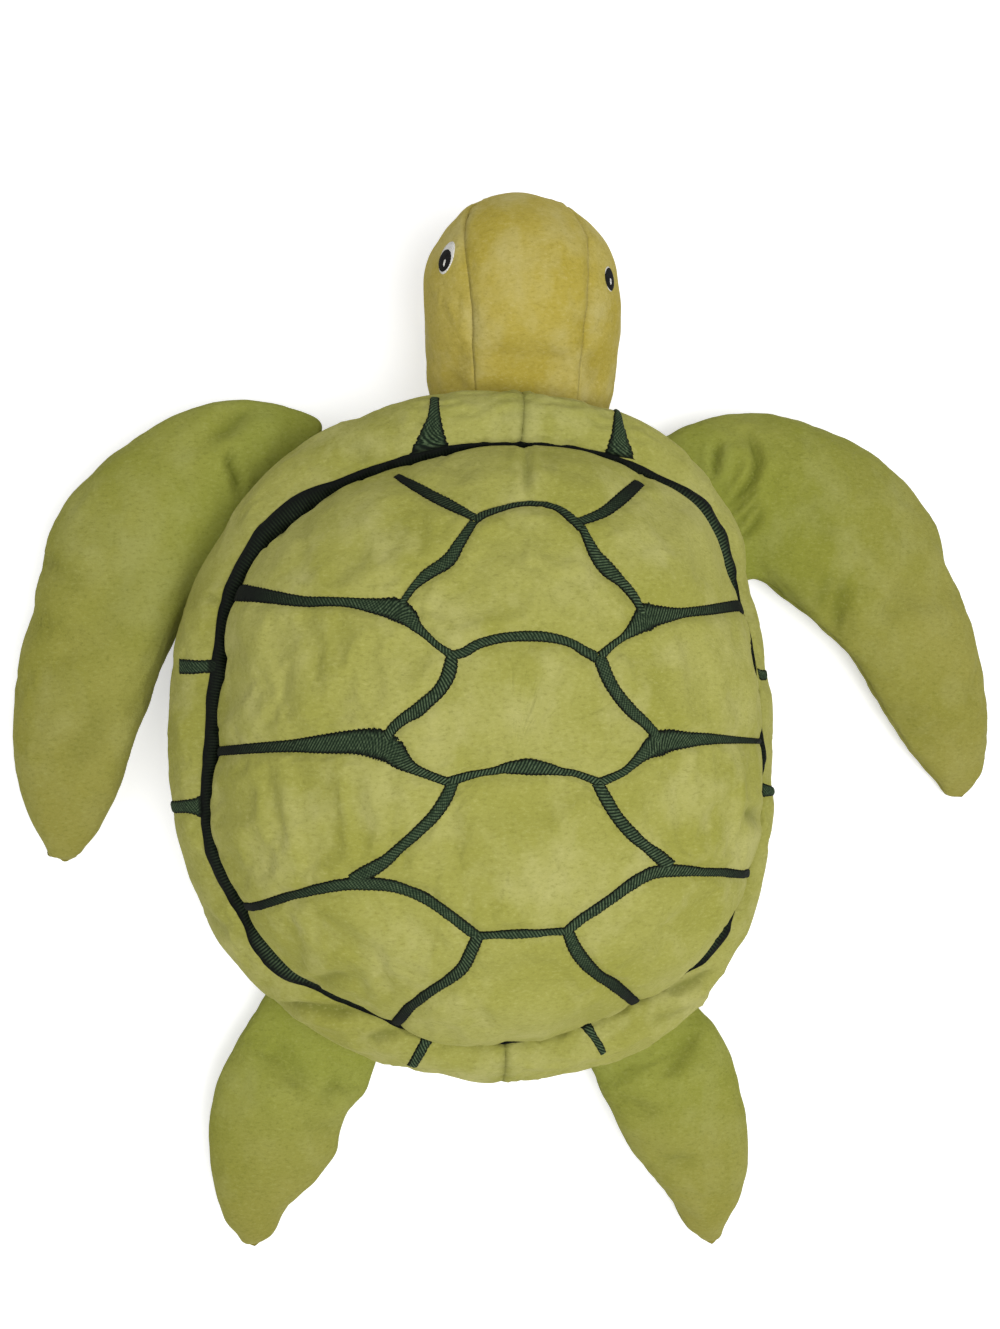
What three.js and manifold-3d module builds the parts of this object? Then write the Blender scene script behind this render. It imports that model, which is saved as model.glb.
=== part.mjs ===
import * as THREE from 'three';
import { mergeVertices } from 'three/addons/utils/BufferGeometryUtils.js';
import Module from 'manifold-3d';

const wasm = await Module();
wasm.setup();

// Plush sea turtle, lying on its belly.
// X runs to the turtle's left, Y to its tail and Z up.
// The origin is the middle of the flat belly. Lengths are in millimetres.

// Cloth, thread and clearances
const cloth_thickness = 1.2;
const seam_gap = 0.3;
const filling_gap = 0.6;
const joint_gap = 0.5;
const thread_thickness = 0.8;

// Shell: an outline that is rounder than an ellipse, with a dome inside a padded rim
const shell_half_width = 125;
const shell_half_length = 138;
const shell_height = 112;
const dome_left_half_width = 104.5;
const dome_right_half_width = 108.5;
const dome_front_length = 113.5;
const dome_rear_length = 115.5;
const groove_height = 58;
const front_lift = 26;
const front_seam_offset = -10;
const rear_seam_offset = -6;
const arch_half_angle = THREE.MathUtils.degToRad(52);
const half_columns = 20;

// Stitching on the shell
const scute_side_offset = -6;
const scute_half_width = 110;
const scute_half_length = 117.5;
const scute_line_width = 4.2;
const ring_width = 8;
const widest_wedge = 11;
const line_steps = 4;

// Head and neck
const neck_side_offset = -17;
const neck_hinge_back = -125;
const neck_hinge_height = 31;
const neck_half_width = 37;
const neck_knuckle_radius = 25;
const head_length = 97;
const head_side_lean = 4;
const head_half_width = 40.5;
const head_half_height = 36;
const head_centre_height = 46;
const head_up_angle = THREE.MathUtils.degToRad(12);
const head_down_angle = THREE.MathUtils.degToRad(20);
const head_columns = 24;
const crown_columns = 2;

// Eyes, stitched on the sides of the head
const eye_forward = 65;
const eye_rise = 17;
const eye_half_length = 5.6;
const eye_half_height = 5.4;
const eye_border = 1.2;
const glint_radius = 1;
const glint_forward = 1.4;
const glint_rise = 1.5;
const eye_reach = 24;
const eye_steps = 5;

// Front flippers
const front_hinge_out = 86;
const front_hinge_back = -84;
const front_hinge_height = 15;
const front_hinge_angle = THREE.MathUtils.degToRad(-10);
const front_root_half_width = 48;
const front_knuckle_radius = 9.5;
const front_half_thickness = 16.5;
const front_floor_gap = 1.5;
const left_front_reach = 163;
const right_front_reach = 184;

// Rear flippers
const rear_hinge_out = 58.5;
const rear_hinge_back = 101;
const rear_hinge_height = 14;
const rear_hinge_angle = THREE.MathUtils.degToRad(61);
const rear_root_half_width = 26;
const rear_knuckle_radius = 9;
const rear_half_thickness = 13.5;
const rear_floor_gap = 1.5;
const left_rear_reach = 115;
const left_rear_turn_angle = 0;
const right_rear_reach = 131;
const right_rear_turn_angle = THREE.MathUtils.degToRad(-4);

// How far every flipper flaps from where it lies
const flap_up_angle = THREE.MathUtils.degToRad(22);
const flap_down_angle = THREE.MathUtils.degToRad(20);
const flipper_columns = 12;

// Pockets: a fan that widens with the limb's swell, past the ends of the hinge by the side rooms
const pocket_steps = 6;
const head_swell_up_angle = THREE.MathUtils.degToRad(17);
const head_swell_down_angle = THREE.MathUtils.degToRad(1);
const flipper_swell_up_angle = THREE.MathUtils.degToRad(14);
const flipper_swell_down_angle = THREE.MathUtils.degToRad(16);
const head_pocket_reach = 60;
const flipper_pocket_reach = 55;
const neck_side_room = 3;
const leading_side_room = 6;
const trailing_side_room = 20;

// How full each corner of an outline is, as the power of its curve, where 2 is an ellipse:
// front left, front right, rear left and rear right
const shell_corner_shares = [2.45, 2.35, 2.2, 2.75];
const dome_corner_shares = [2.35, 2.9, 2.15, 2.5];

// Dome, from its top to the groove: share of the dome's radius, share of its height
const dome_profile_shares = [
  [0, 1], [0.18, 0.985], [0.37, 0.94], [0.55, 0.86], [0.71, 0.735],
  [0.84, 0.575], [0.935, 0.39], [0.99, 0.2], [1, 0.08], [0.985, 0],
];

// Rim, from the groove over the edge to the belly seam:
// share of the way out to the edge, share of the groove's height, share of the front's lift
const rim_profile_shares = [
  [0, 1, 0.62], [0.24, 1.05, 0.7], [0.62, 1, 0.82], [0.89, 0.88, 0.94],
  [1, 0.73, 1], [0.92, 0.59, 0.95], [0.62, 0.46, 0.8], [0.22, 0.36, 0.6],
];

// Belly, from its seam to the middle: share of the seam's radius, then as above
const belly_profile_shares = [
  [0.94, 0.235, 0.4], [0.855, 0.125, 0.2], [0.75, 0.045, 0.06], [0.64, 0, 0], [0.33, 0, 0], [0, 0, 0],
];

// Scute lines of the left half, mirrored on the right: three points along each line, as shares of the
// pattern's half width and half length, then the line's width at its start, middle and end
const scute_line_shares = [
  [0.424, -0.862, 0.3, -0.8, 0.181, -0.717, 1, 1, 1],
  [0.181, -0.717, 0.12, -0.79, -0.012, -0.79, 0.9, 0.8, 0.8],
  [0.181, -0.717, 0.272, -0.58, 0.395, -0.457, 1, 1.1, 1.6],
  [1.03, -0.481, 0.7, -0.463, 0.395, -0.457, 1.9, 1.1, 2.6],
  [0.395, -0.457, 0.302, -0.35, 0.238, -0.302, 1.6, 0.9, 1.3],
  [0.238, -0.302, 0.14, -0.375, -0.012, -0.375, 1.2, 0.9, 1.1],
  [0.238, -0.302, 0.292, -0.18, 0.429, -0.066, 1.2, 1.1, 2.2],
  [1.03, -0.004, 0.72, -0.03, 0.429, -0.066, 1, 1.3, 3.4],
  [0.429, -0.066, 0.34, 0.04, 0.255, 0.075, 2.2, 0.9, 1.2],
  [0.255, 0.075, 0.14, 0.015, -0.012, 0.02, 1.1, 0.9, 1.4],
  [0.255, 0.075, 0.325, 0.23, 0.483, 0.372, 1.2, 1.1, 1.8],
  [1.03, 0.53, 0.76, 0.42, 0.483, 0.372, 1, 1.1, 2],
  [0.483, 0.372, 0.3, 0.43, 0.15, 0.551, 1.7, 1.2, 1],
  [0.15, 0.551, 0.08, 0.565, -0.012, 0.565, 1, 0.9, 0.9],
  [0.15, 0.551, 0.205, 0.7, 0.4, 0.86, 1, 1.1, 1],
];

// Width of the ring round the dome, from the front by way of the left, at even turns
const ring_width_shares = [0.42, 1, 0.62, 0.75, 0.4, 0.7, 0.5, 1];

// Bars and wedges across the rim: azimuth as a share of a turn, the width at the ring as a share of
// the widest, the width at the edge as a share of that, and the share of the rim that they cross
const rim_bar_shares = [
  [-0.219, 1, 0.2, 0.86], [-0.311, 0.9, 0.2, 0.86], [-0.043, 0.4, 0.9, 0.9], [0.029, 0.6, 0.15, 0.9],
  [-0.46, 0.4, 0.9, 0.9], [0.475, 0.6, 0.15, 0.9], [0.212, 0.35, 0.9, 0.9], [0.303, 0.35, 0.9, 0.9],
];

// Head, from the hinge to the nose:
// share of the length, of the half width, of the half height and of the centre's height
const head_profile_shares = [
  [0.12, 0.915, 0.74, 0.72], [0.25, 0.94, 0.81, 0.79], [0.38, 0.975, 0.91, 0.9],
  [0.5, 1, 0.985, 0.975], [0.62, 0.99, 1, 1], [0.74, 0.915, 0.945, 1.01],
  [0.85, 0.745, 0.78, 1.01], [0.93, 0.525, 0.55, 1], [0.98, 0.28, 0.3, 0.99], [1, 0, 0, 0.99],
];

// Flippers, rib by rib from the root to the tip, from the middle of the hinge, as shares of the reach:
// leading edge out and back, trailing edge out and back, then share of the half thickness
const left_front_rib_shares = [
  [-0.013, -0.344, 0.131, 0.237, 0.74], [0.087, -0.369, 0.225, 0.231, 0.88],
  [0.244, -0.319, 0.263, 0.312, 0.97], [0.412, -0.206, 0.3, 0.406, 1],
  [0.537, -0.069, 0.325, 0.469, 0.98], [0.581, 0.087, 0.35, 0.531, 0.92],
  [0.631, 0.287, 0.372, 0.594, 0.83], [0.653, 0.463, 0.394, 0.662, 0.71],
  [0.631, 0.65, 0.431, 0.744, 0.55], [0.569, 0.794, 0.481, 0.8, 0.35],
  [0.525, 0.816, 0.525, 0.816, 0.3],
];
const right_front_rib_shares = [
  [-0.011, -0.278, 0.122, 0.133, 0.74], [0.1, -0.328, 0.217, 0.083, 0.88],
  [0.233, -0.344, 0.289, 0.128, 0.97], [0.394, -0.306, 0.356, 0.167, 1],
  [0.536, -0.235, 0.406, 0.217, 0.98], [0.65, -0.128, 0.455, 0.275, 0.92],
  [0.727, 0.041, 0.502, 0.343, 0.83], [0.802, 0.206, 0.558, 0.43, 0.71],
  [0.856, 0.374, 0.618, 0.515, 0.55], [0.864, 0.532, 0.69, 0.58, 0.35],
  [0.79, 0.634, 0.79, 0.634, 0.3],
];
const left_rear_rib_shares = [
  [0.275, 0.11, -0.138, 0.348, 0.8], [0.375, 0.232, -0.103, 0.433, 0.95],
  [0.443, 0.364, -0.049, 0.496, 1], [0.483, 0.509, -0.004, 0.571, 0.95],
  [0.488, 0.637, 0.013, 0.652, 0.86], [0.466, 0.76, 0.062, 0.745, 0.74],
  [0.427, 0.87, 0.145, 0.83, 0.6], [0.375, 0.955, 0.205, 0.93, 0.42], [0.31, 1, 0.31, 1, 0.36],
];
const right_rear_rib_shares = [
  [0.265, 0.115, -0.12, 0.338, 0.8], [0.362, 0.238, -0.08, 0.422, 0.95],
  [0.428, 0.369, -0.022, 0.484, 1], [0.467, 0.511, 0.024, 0.56, 0.95],
  [0.472, 0.635, 0.04, 0.64, 0.86], [0.451, 0.757, 0.085, 0.735, 0.74],
  [0.413, 0.865, 0.162, 0.822, 0.6], [0.363, 0.952, 0.213, 0.928, 0.42], [0.31, 1, 0.31, 1, 0.36],
];

// Colours
const shell_colour = '#a2a05a';
const belly_colour = '#b7b37c';
const flipper_colour = '#8e8e46';
const head_colour = '#b3a14c';
const thread_colour = '#34502f';
const fibre_colour = '#ecebe4';
const white_colour = '#f1efe6';
const black_colour = '#15140f';

const plush = (color) => new THREE.MeshStandardMaterial({ color, roughness: 0.95, metalness: 0 });
const satin = (color) => new THREE.MeshStandardMaterial({ color, roughness: 0.55, metalness: 0 });

// A sheet is a grid of points in rows. Its columns run across the rows, and close on themselves
// where it wraps. Its side is 1 where rows by columns face out, and -1 where they face in.
function makeSheet(rows, wraps, side = 1) {
  return { rows, wraps, side, normals: sheetNormals(rows, wraps, side) };
}

function isPole(row) {
  return row.every((point) => point.distanceTo(row[0]) < Number.EPSILON * shell_height);
}

function sheetNormals(rows, wraps, side) {
  const last_row = rows.length - 1;
  const last_column = rows[0].length - 1;
  const normals = rows.map((row, i) => row.map((_, j) => {
    const before = wraps && j === 0 ? last_column : Math.max(j - 1, 0);
    const after = wraps && j === last_column ? 0 : Math.min(j + 1, last_column);
    const along = rows[Math.min(i + 1, last_row)][j].clone().sub(rows[Math.max(i - 1, 0)][j]);
    const across = row[after].clone().sub(row[before]);
    return along.cross(across).normalize().multiplyScalar(side);
  }));
  [[0, 1], [last_row, last_row - 1]].forEach(([end, next]) => {
    if (!isPole(rows[end])) return;
    const sum = new THREE.Vector3();
    normals[next].forEach((normal) => sum.add(normal));
    normals[end] = rows[end].map(() => sum.clone().normalize());
  });
  return normals;
}

function offsetSheet(sheet, distance) {
  const rows = sheet.rows.map((row, i) => row.map((point, j) => (
    point.clone().addScaledVector(sheet.normals[i][j], distance))));
  return { ...sheet, rows };
}

function everySecondColumn(sheet) {
  const keep = (row) => row.filter((_, j) => j % 2 === 0);
  return { ...sheet, rows: sheet.rows.map(keep), normals: sheet.normals.map(keep) };
}

// Solids from lists of triangles
function solidFromTriangles(triangles, side) {
  const corners = triangles.flatMap(([a, b, c]) => (side > 0 ? [a, b, c] : [a, c, b]));
  return solidFromGeometry(new THREE.BufferGeometry().setFromPoints(corners));
}

function solidFromGeometry(geometry) {
  const bare = geometry.clone();
  bare.deleteAttribute('normal');
  bare.deleteAttribute('uv');
  const merged = mergeVertices(bare);
  const index = merged.index.array;
  const triVerts = [];
  for (let i = 0; i < index.length; i += 3) {
    const [a, b, c] = index.slice(i, i + 3);
    if (a !== b && b !== c && c !== a) triVerts.push(a, b, c);
  }
  return new wasm.Manifold(new wasm.Mesh({
    numProp: 3,
    vertProperties: new Float32Array(merged.attributes.position.array),
    triVerts: new Uint32Array(triVerts),
  }));
}

function geometryFromSolid(solid) {
  const mesh = solid.getMesh();
  const geometry = new THREE.BufferGeometry();
  geometry.setAttribute('position', new THREE.BufferAttribute(mesh.vertProperties.slice(), 3));
  geometry.setIndex(new THREE.BufferAttribute(mesh.triVerts.slice(), 1));
  return geometry;
}

function gridTriangles(rows, wraps) {
  const triangles = [];
  const columns = rows[0].length - (wraps ? 0 : 1);
  for (let i = 0; i + 1 < rows.length; i += 1) {
    for (let j = 0; j < columns; j += 1) {
      const next = (j + 1) % rows[0].length;
      triangles.push([rows[i][j], rows[i + 1][j], rows[i + 1][next]]);
      triangles.push([rows[i][j], rows[i + 1][next], rows[i][next]]);
    }
  }
  return triangles;
}

// A sheet that wraps and ends in a pole at both ends is a whole body
function wholeBody(sheet) {
  return solidFromTriangles(gridTriangles(sheet.rows, sheet.wraps), sheet.side);
}

// A cut of cloth: the space between two offsets of a sheet, closed along its cut edges
function clothPanel(outer, inner) {
  const triangles = gridTriangles(outer.rows, outer.wraps);
  gridTriangles(inner.rows, inner.wraps).forEach(([a, b, c]) => triangles.push([a, c, b]));
  const wall = (i, j, next_i, next_j) => {
    const [p, q] = [outer.rows[i][j], outer.rows[next_i][next_j]];
    const [p_inner, q_inner] = [inner.rows[i][j], inner.rows[next_i][next_j]];
    triangles.push([q, p, p_inner], [q, p_inner, q_inner]);
  };
  const last_row = outer.rows.length - 1;
  const last_column = outer.rows[0].length - 1;
  const width = outer.rows[0].length;
  for (let j = 0; j < width - (outer.wraps ? 0 : 1); j += 1) {
    const next = (j + 1) % width;
    if (!isPole(outer.rows[last_row])) wall(last_row, j, last_row, next);
    if (!isPole(outer.rows[0])) wall(0, next, 0, j);
  }
  for (let i = 0; i < last_row && !outer.wraps; i += 1) {
    wall(i, 0, i + 1, 0);
    wall(i + 1, last_column, i, last_column);
  }
  return solidFromTriangles(triangles, outer.side);
}

const largest_draw_share = 0.4;

// Moves a line of points towards its neighbour by half a seam, but never half of the way
function drawnIn(line, neighbour) {
  return line.map((point, k) => {
    const way = Math.max(point.distanceTo(neighbour[k]), seam_gap);
    return point.clone().lerp(neighbour[k], Math.min(seam_gap / 2 / way, largest_draw_share));
  });
}

// The part of a sheet between two columns, drawn in from the seams on every edge that is a seam
function columnsOf(sheet, first, last) {
  const count = sheet.rows[0].length;
  const pick = (row) => Array.from({ length: last - first + 1 }, (_, k) => row[(first + k) % count]);
  return { ...sheet, wraps: false, rows: sheet.rows.map(pick), normals: sheet.normals.map(pick) };
}

function drawnInColumns(sheet) {
  const rows = sheet.rows.map((row) => row.slice());
  const last = rows[0].length - 1;
  const column = (j) => sheet.rows.map((row) => row[j]);
  drawnIn(column(0), column(1)).forEach((point, i) => { rows[i][0] = point; });
  drawnIn(column(last), column(last - 1)).forEach((point, i) => { rows[i][last] = point; });
  return { ...sheet, rows };
}

function drawnInEnds(sheet) {
  const rows = sheet.rows.slice();
  const last = rows.length - 1;
  rows[0] = drawnIn(rows[0], rows[1]);
  rows[last] = drawnIn(rows[last], rows[last - 1]);
  return { ...sheet, rows };
}

function limbPanel(sheet, first, last) {
  const part = columnsOf(sheet, first, last);
  const finish = (layer) => drawnInEnds(drawnInColumns(layer));
  return clothPanel(finish(part), finish(offsetSheet(part, -cloth_thickness)));
}

function limbFilling(sheet) {
  return wholeBody(offsetSheet(everySecondColumn(sheet), -cloth_thickness - filling_gap));
}

// Shell outline and heights at an azimuth, measured from the turtle's left towards its tail
const shell_outline = {
  left: shell_half_width,
  right: shell_half_width,
  front: shell_half_length,
  rear: shell_half_length,
  corner_shares: shell_corner_shares,
};
const dome_outline = {
  left: dome_left_half_width,
  right: dome_right_half_width,
  front: dome_front_length,
  rear: dome_rear_length,
  corner_shares: dome_corner_shares,
};

function outlineRadius(azimuth, outline) {
  const [front_left, front_right, rear_left, rear_right] = outline.corner_shares;
  const to_left = Math.cos(azimuth) > 0;
  const ahead = Math.sin(azimuth) < 0;
  const front_power = to_left ? front_left : front_right;
  const rear_power = to_left ? rear_left : rear_right;
  const power = ahead ? front_power : rear_power;
  const across = Math.abs(Math.cos(azimuth)) / (to_left ? outline.left : outline.right);
  const along = Math.abs(Math.sin(azimuth)) / (ahead ? outline.front : outline.rear);
  return (across ** power + along ** power) ** (-1 / power);
}

const shellRadius = (azimuth) => outlineRadius(azimuth, shell_outline);
const domeRadius = (azimuth) => outlineRadius(azimuth, dome_outline);
const front_azimuth = Math.atan2(-shell_half_length, front_seam_offset);
const rear_azimuth = Math.atan2(shell_half_length, rear_seam_offset);
const neck_azimuth = Math.atan2(-shell_half_length, neck_side_offset);

function liftAt(azimuth) {
  const turn = azimuth - neck_azimuth;
  const away = Math.abs(Math.atan2(Math.sin(turn), Math.cos(turn)));
  if (away > arch_half_angle) return 0;
  return front_lift * Math.cos((away / arch_half_angle) * Math.PI / 2) ** 2;
}

function shellPoint(azimuth, radius, height) {
  return new THREE.Vector3(radius * Math.cos(azimuth), radius * Math.sin(azimuth), height);
}

// Columns of the shell: the left half runs from the front seam to the rear seam, the right half back
function shellAzimuths() {
  const left_turn = rear_azimuth - front_azimuth;
  const right_turn = 2 * Math.PI - left_turn;
  const left = Array.from({ length: half_columns }, (_, k) => front_azimuth + left_turn * k / half_columns);
  const right = Array.from({ length: half_columns }, (_, k) => rear_azimuth + right_turn * k / half_columns);
  return [...left, ...right];
}

const dome_widest_row = dome_profile_shares.findIndex(([out]) => out === 1);

function domeSheet() {
  const rows = dome_profile_shares.map(([out, rise]) => shellAzimuths().map((azimuth) => {
    const foot = groove_height + liftAt(azimuth) * rim_profile_shares[0][2];
    return shellPoint(azimuth, domeRadius(azimuth) * out, foot + (shell_height - foot) * rise);
  }));
  return makeSheet(rows, true);
}

function rimRow([out, rise, lift]) {
  return shellAzimuths().map((azimuth) => {
    const inner = domeRadius(azimuth);
    const radius = inner + (shellRadius(azimuth) - inner) * out;
    return shellPoint(azimuth, radius, groove_height * rise + liftAt(azimuth) * lift);
  });
}

function bellyRow([out, rise, lift]) {
  const seam_out = rim_profile_shares[rim_profile_shares.length - 1][0];
  return shellAzimuths().map((azimuth) => {
    const inner = domeRadius(azimuth);
    const seam_radius = inner + (shellRadius(azimuth) - inner) * seam_out;
    return shellPoint(azimuth, seam_radius * out, groove_height * rise + liftAt(azimuth) * lift);
  });
}

// Rim and belly are one smooth sheet, cut at the belly seam
function skirtSheet() {
  return makeSheet([...rim_profile_shares.map(rimRow), ...belly_profile_shares.map(bellyRow)], true);
}

const belly_seam_row = rim_profile_shares.length - 1;
const rim_edge_row = rim_profile_shares.findIndex(([out]) => out === 1);

function rowsOf(sheet, first, last) {
  return { ...sheet, rows: sheet.rows.slice(first, last + 1), normals: sheet.normals.slice(first, last + 1) };
}

function domeCover() {
  const sheet = domeSheet();
  return clothPanel(sheet, offsetSheet(sheet, -cloth_thickness));
}

function rimBand(first) {
  const part = columnsOf(rowsOf(skirtSheet(), 0, belly_seam_row), first, first + half_columns);
  const finish = (layer) => drawnInEnds(drawnInColumns(layer));
  return clothPanel(finish(part), finish(offsetSheet(part, -cloth_thickness)));
}

function bellyPanel() {
  const skirt = skirtSheet();
  const part = rowsOf(skirt, belly_seam_row, skirt.rows.length - 1);
  const finish = (layer) => {
    const rows = layer.rows.slice();
    rows[0] = drawnIn(rows[0], rows[1]);
    return { ...layer, rows };
  };
  return clothPanel(finish(part), finish(offsetSheet(part, -cloth_thickness)));
}

function bodyFilling() {
  const inset = -cloth_thickness - filling_gap;
  const dome = offsetSheet(domeSheet(), inset);
  const skirt = offsetSheet(skirtSheet(), inset);
  const dome_foot = dome.rows[dome.rows.length - 1];
  const corner = dome_foot.map((point, j) => new THREE.Vector3(point.x, point.y, skirt.rows[0][j].z));
  const dome_rows = dome.rows.filter((_, i) => i % 2 === 0);
  return wholeBody({ ...dome, rows: [...dome_rows, dome_foot, corner, ...skirt.rows] });
}

// Stitching lies on its cloth as a thin raised layer, cut to the outline of the stitched shapes
function threadLayer(sheet) {
  return clothPanel(offsetSheet(sheet, seam_gap + thread_thickness), offsetSheet(sheet, seam_gap));
}

function upright(outline) {
  const height = { depth: 2 * shell_height, bevelEnabled: false };
  return solidFromGeometry(new THREE.ExtrudeGeometry(new THREE.Shape(outline), height));
}

// A stitched line: a smooth curve through three points, drawn with a width that changes along it
function stitchedLine(points, widths) {
  const curve = new THREE.SplineCurve(points);
  const width_curve = new THREE.SplineCurve(widths.map((width, k) => new THREE.Vector2(k, width)));
  const sides = [[], []];
  for (let k = 0; k <= line_steps; k += 1) {
    const spot = curve.getPoint(k / line_steps);
    const tangent = curve.getTangent(k / line_steps);
    const half = width_curve.getPoint(k / line_steps).y / 2;
    sides[0].push(new THREE.Vector2(spot.x - tangent.y * half, spot.y + tangent.x * half));
    sides[1].unshift(new THREE.Vector2(spot.x + tangent.y * half, spot.y - tangent.x * half));
  }
  return upright(sides.flat());
}

function scuteLine(shares, side) {
  const [first_out, first_back, middle_out, middle_back, last_out, last_back, ...width_shares] = shares;
  const out_and_back = [[first_out, first_back], [middle_out, middle_back], [last_out, last_back]];
  const points = out_and_back.map(([out, back]) => new THREE.Vector2(
    scute_side_offset + side * scute_half_width * out, scute_half_length * back));
  return stitchedLine(points, width_shares.map((share) => share * scute_line_width));
}

function scuteEmbroidery() {
  const lines = [1, -1].flatMap((side) => scute_line_shares.map((shares) => scuteLine(shares, side)));
  const network = lines.reduce((all, line) => all.add(line));
  return network.intersect(threadLayer(rowsOf(domeSheet(), 0, dome_widest_row)));
}

// The ring's width at an azimuth, between the even turns of its table
function ringWidthAt(azimuth) {
  const count = ring_width_shares.length;
  const turned = THREE.MathUtils.euclideanModulo(azimuth + Math.PI / 2, 2 * Math.PI);
  const place = turned / (2 * Math.PI) * count;
  const before = Math.floor(place);
  const share = THREE.MathUtils.lerp(
    ring_width_shares[before % count], ring_width_shares[(before + 1) % count], place - before);
  return ring_width * share;
}

function rimBar([turn, base_share, edge_share, crossed]) {
  const azimuth = turn * 2 * Math.PI;
  const inner = domeRadius(azimuth);
  const outer = inner + (shellRadius(azimuth) - inner) * crossed;
  const base = widest_wedge * base_share;
  const edge = base * edge_share;
  const spot = (radius) => direction(azimuth).multiplyScalar(radius);
  return stitchedLine(
    [spot(inner), spot((inner + outer) / 2), spot(outer)], [base, (base + edge) / 2, edge]);
}

function rimEmbroidery() {
  const around = (extra) => upright(shellAzimuths().map((azimuth) => (
    direction(azimuth).multiplyScalar(domeRadius(azimuth) + extra(azimuth)))));
  const network = rim_bar_shares.map(rimBar).reduce((all, bar) => all.add(bar), around(ringWidthAt));
  const layer = threadLayer(rowsOf(skirtSheet(), 0, rim_edge_row));
  return network.subtract(around(() => seam_gap)).intersect(layer);
}

// The root of a limb is a knuckle, round about the hinge, so that it turns in its pocket
function knuckleTurns(columns) {
  return Array.from({ length: columns / 4 }, (_, k) => (k / columns) * 2 * Math.PI);
}

function headRing(middle, half_width, half_height) {
  return Array.from({ length: head_columns }, (_, j) => {
    const turn = (j / head_columns) * 2 * Math.PI;
    return new THREE.Vector3(half_width * Math.sin(turn), 0, half_height * Math.cos(turn)).add(middle);
  });
}

// The middle of the head, a way ahead of the hinge
function headMiddle(ahead, height) {
  const lean = head_side_lean * ahead / head_length;
  return new THREE.Vector3(neck_side_offset + lean, neck_hinge_back - ahead, height);
}

function headSheet() {
  const neckMiddle = (behind) => (
    new THREE.Vector3(neck_side_offset, neck_hinge_back + behind, neck_hinge_height));
  const knuckle = [...knuckleTurns(head_columns), Math.PI / 2].map((turn) => headRing(
    neckMiddle(neck_knuckle_radius * Math.cos(turn)),
    neck_half_width * Math.sin(turn), neck_knuckle_radius * Math.sin(turn)));
  const face = head_profile_shares.map(([ahead, wide, tall, high]) => headRing(
    headMiddle(head_length * ahead, head_centre_height * high),
    head_half_width * wide, head_half_height * tall));
  return makeSheet([...knuckle, ...face], true);
}

// A flipper rib: an ellipse that stands on the line from the leading edge to the trailing edge
function ribRing(leading, trailing, half_thickness, height, side) {
  const middle = leading.clone().add(trailing).multiplyScalar(0.5);
  const half = leading.clone().sub(middle);
  return Array.from({ length: flipper_columns }, (_, j) => {
    const turn = (j / flipper_columns) * 2 * Math.PI;
    const spot = middle.clone().addScaledVector(half, Math.cos(turn));
    return new THREE.Vector3(side * spot.x, spot.y, height + half_thickness * Math.sin(turn));
  });
}

function ribEnd({ hinge, reach, turn_angle }, out, back) {
  const spot = new THREE.Vector2(out, back).multiplyScalar(reach);
  return spot.rotateAround(new THREE.Vector2(), turn_angle).add(hinge);
}

function flipperSheet(flipper) {
  const { hinge, out, root_half_width, knuckle_radius, rib_shares, side } = flipper;
  const along = new THREE.Vector2(-out.y, out.x);
  const rootRing = (turn) => {
    const middle = hinge.clone().addScaledVector(out, -knuckle_radius * Math.cos(turn));
    const half = root_half_width * Math.sin(turn);
    const leading = middle.clone().addScaledVector(along, -half);
    const trailing = middle.clone().addScaledVector(along, half);
    return ribRing(leading, trailing, knuckle_radius * Math.sin(turn), flipper.hinge_height, side);
  };
  const ribs = rib_shares.map(([lead_out, lead_back, trail_out, trail_back, thick]) => {
    const half_thickness = flipper.half_thickness * thick;
    const leading = ribEnd(flipper, lead_out, lead_back);
    const trailing = ribEnd(flipper, trail_out, trail_back);
    const tallness = leading.equals(trailing) ? 0 : half_thickness;
    return ribRing(leading, trailing, tallness, flipper.floor_gap + half_thickness, side);
  });
  const knuckle = [...knuckleTurns(flipper_columns), Math.PI / 2].map(rootRing);
  return makeSheet([...knuckle, ...ribs], true, side);
}

const direction = (angle) => new THREE.Vector2(Math.cos(angle), Math.sin(angle));

function frontFlipper(side, rib_shares, reach) {
  return {
    side, rib_shares, reach, turn_angle: 0,
    hinge: new THREE.Vector2(front_hinge_out, front_hinge_back), out: direction(front_hinge_angle),
    hinge_height: front_hinge_height, root_half_width: front_root_half_width,
    knuckle_radius: front_knuckle_radius, half_thickness: front_half_thickness, floor_gap: front_floor_gap,
  };
}

function rearFlipper(side, rib_shares, reach, turn_angle) {
  return {
    side, rib_shares, reach, turn_angle,
    hinge: new THREE.Vector2(rear_hinge_out, rear_hinge_back), out: direction(rear_hinge_angle),
    hinge_height: rear_hinge_height, root_half_width: rear_root_half_width,
    knuckle_radius: rear_knuckle_radius, half_thickness: rear_half_thickness, floor_gap: rear_floor_gap,
  };
}

const flippers = {
  front_left: frontFlipper(1, left_front_rib_shares, left_front_reach),
  front_right: frontFlipper(-1, right_front_rib_shares, right_front_reach),
  rear_left: rearFlipper(1, left_rear_rib_shares, left_rear_reach, left_rear_turn_angle),
  rear_right: rearFlipper(-1, right_rear_rib_shares, right_rear_reach, right_rear_turn_angle),
};

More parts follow.
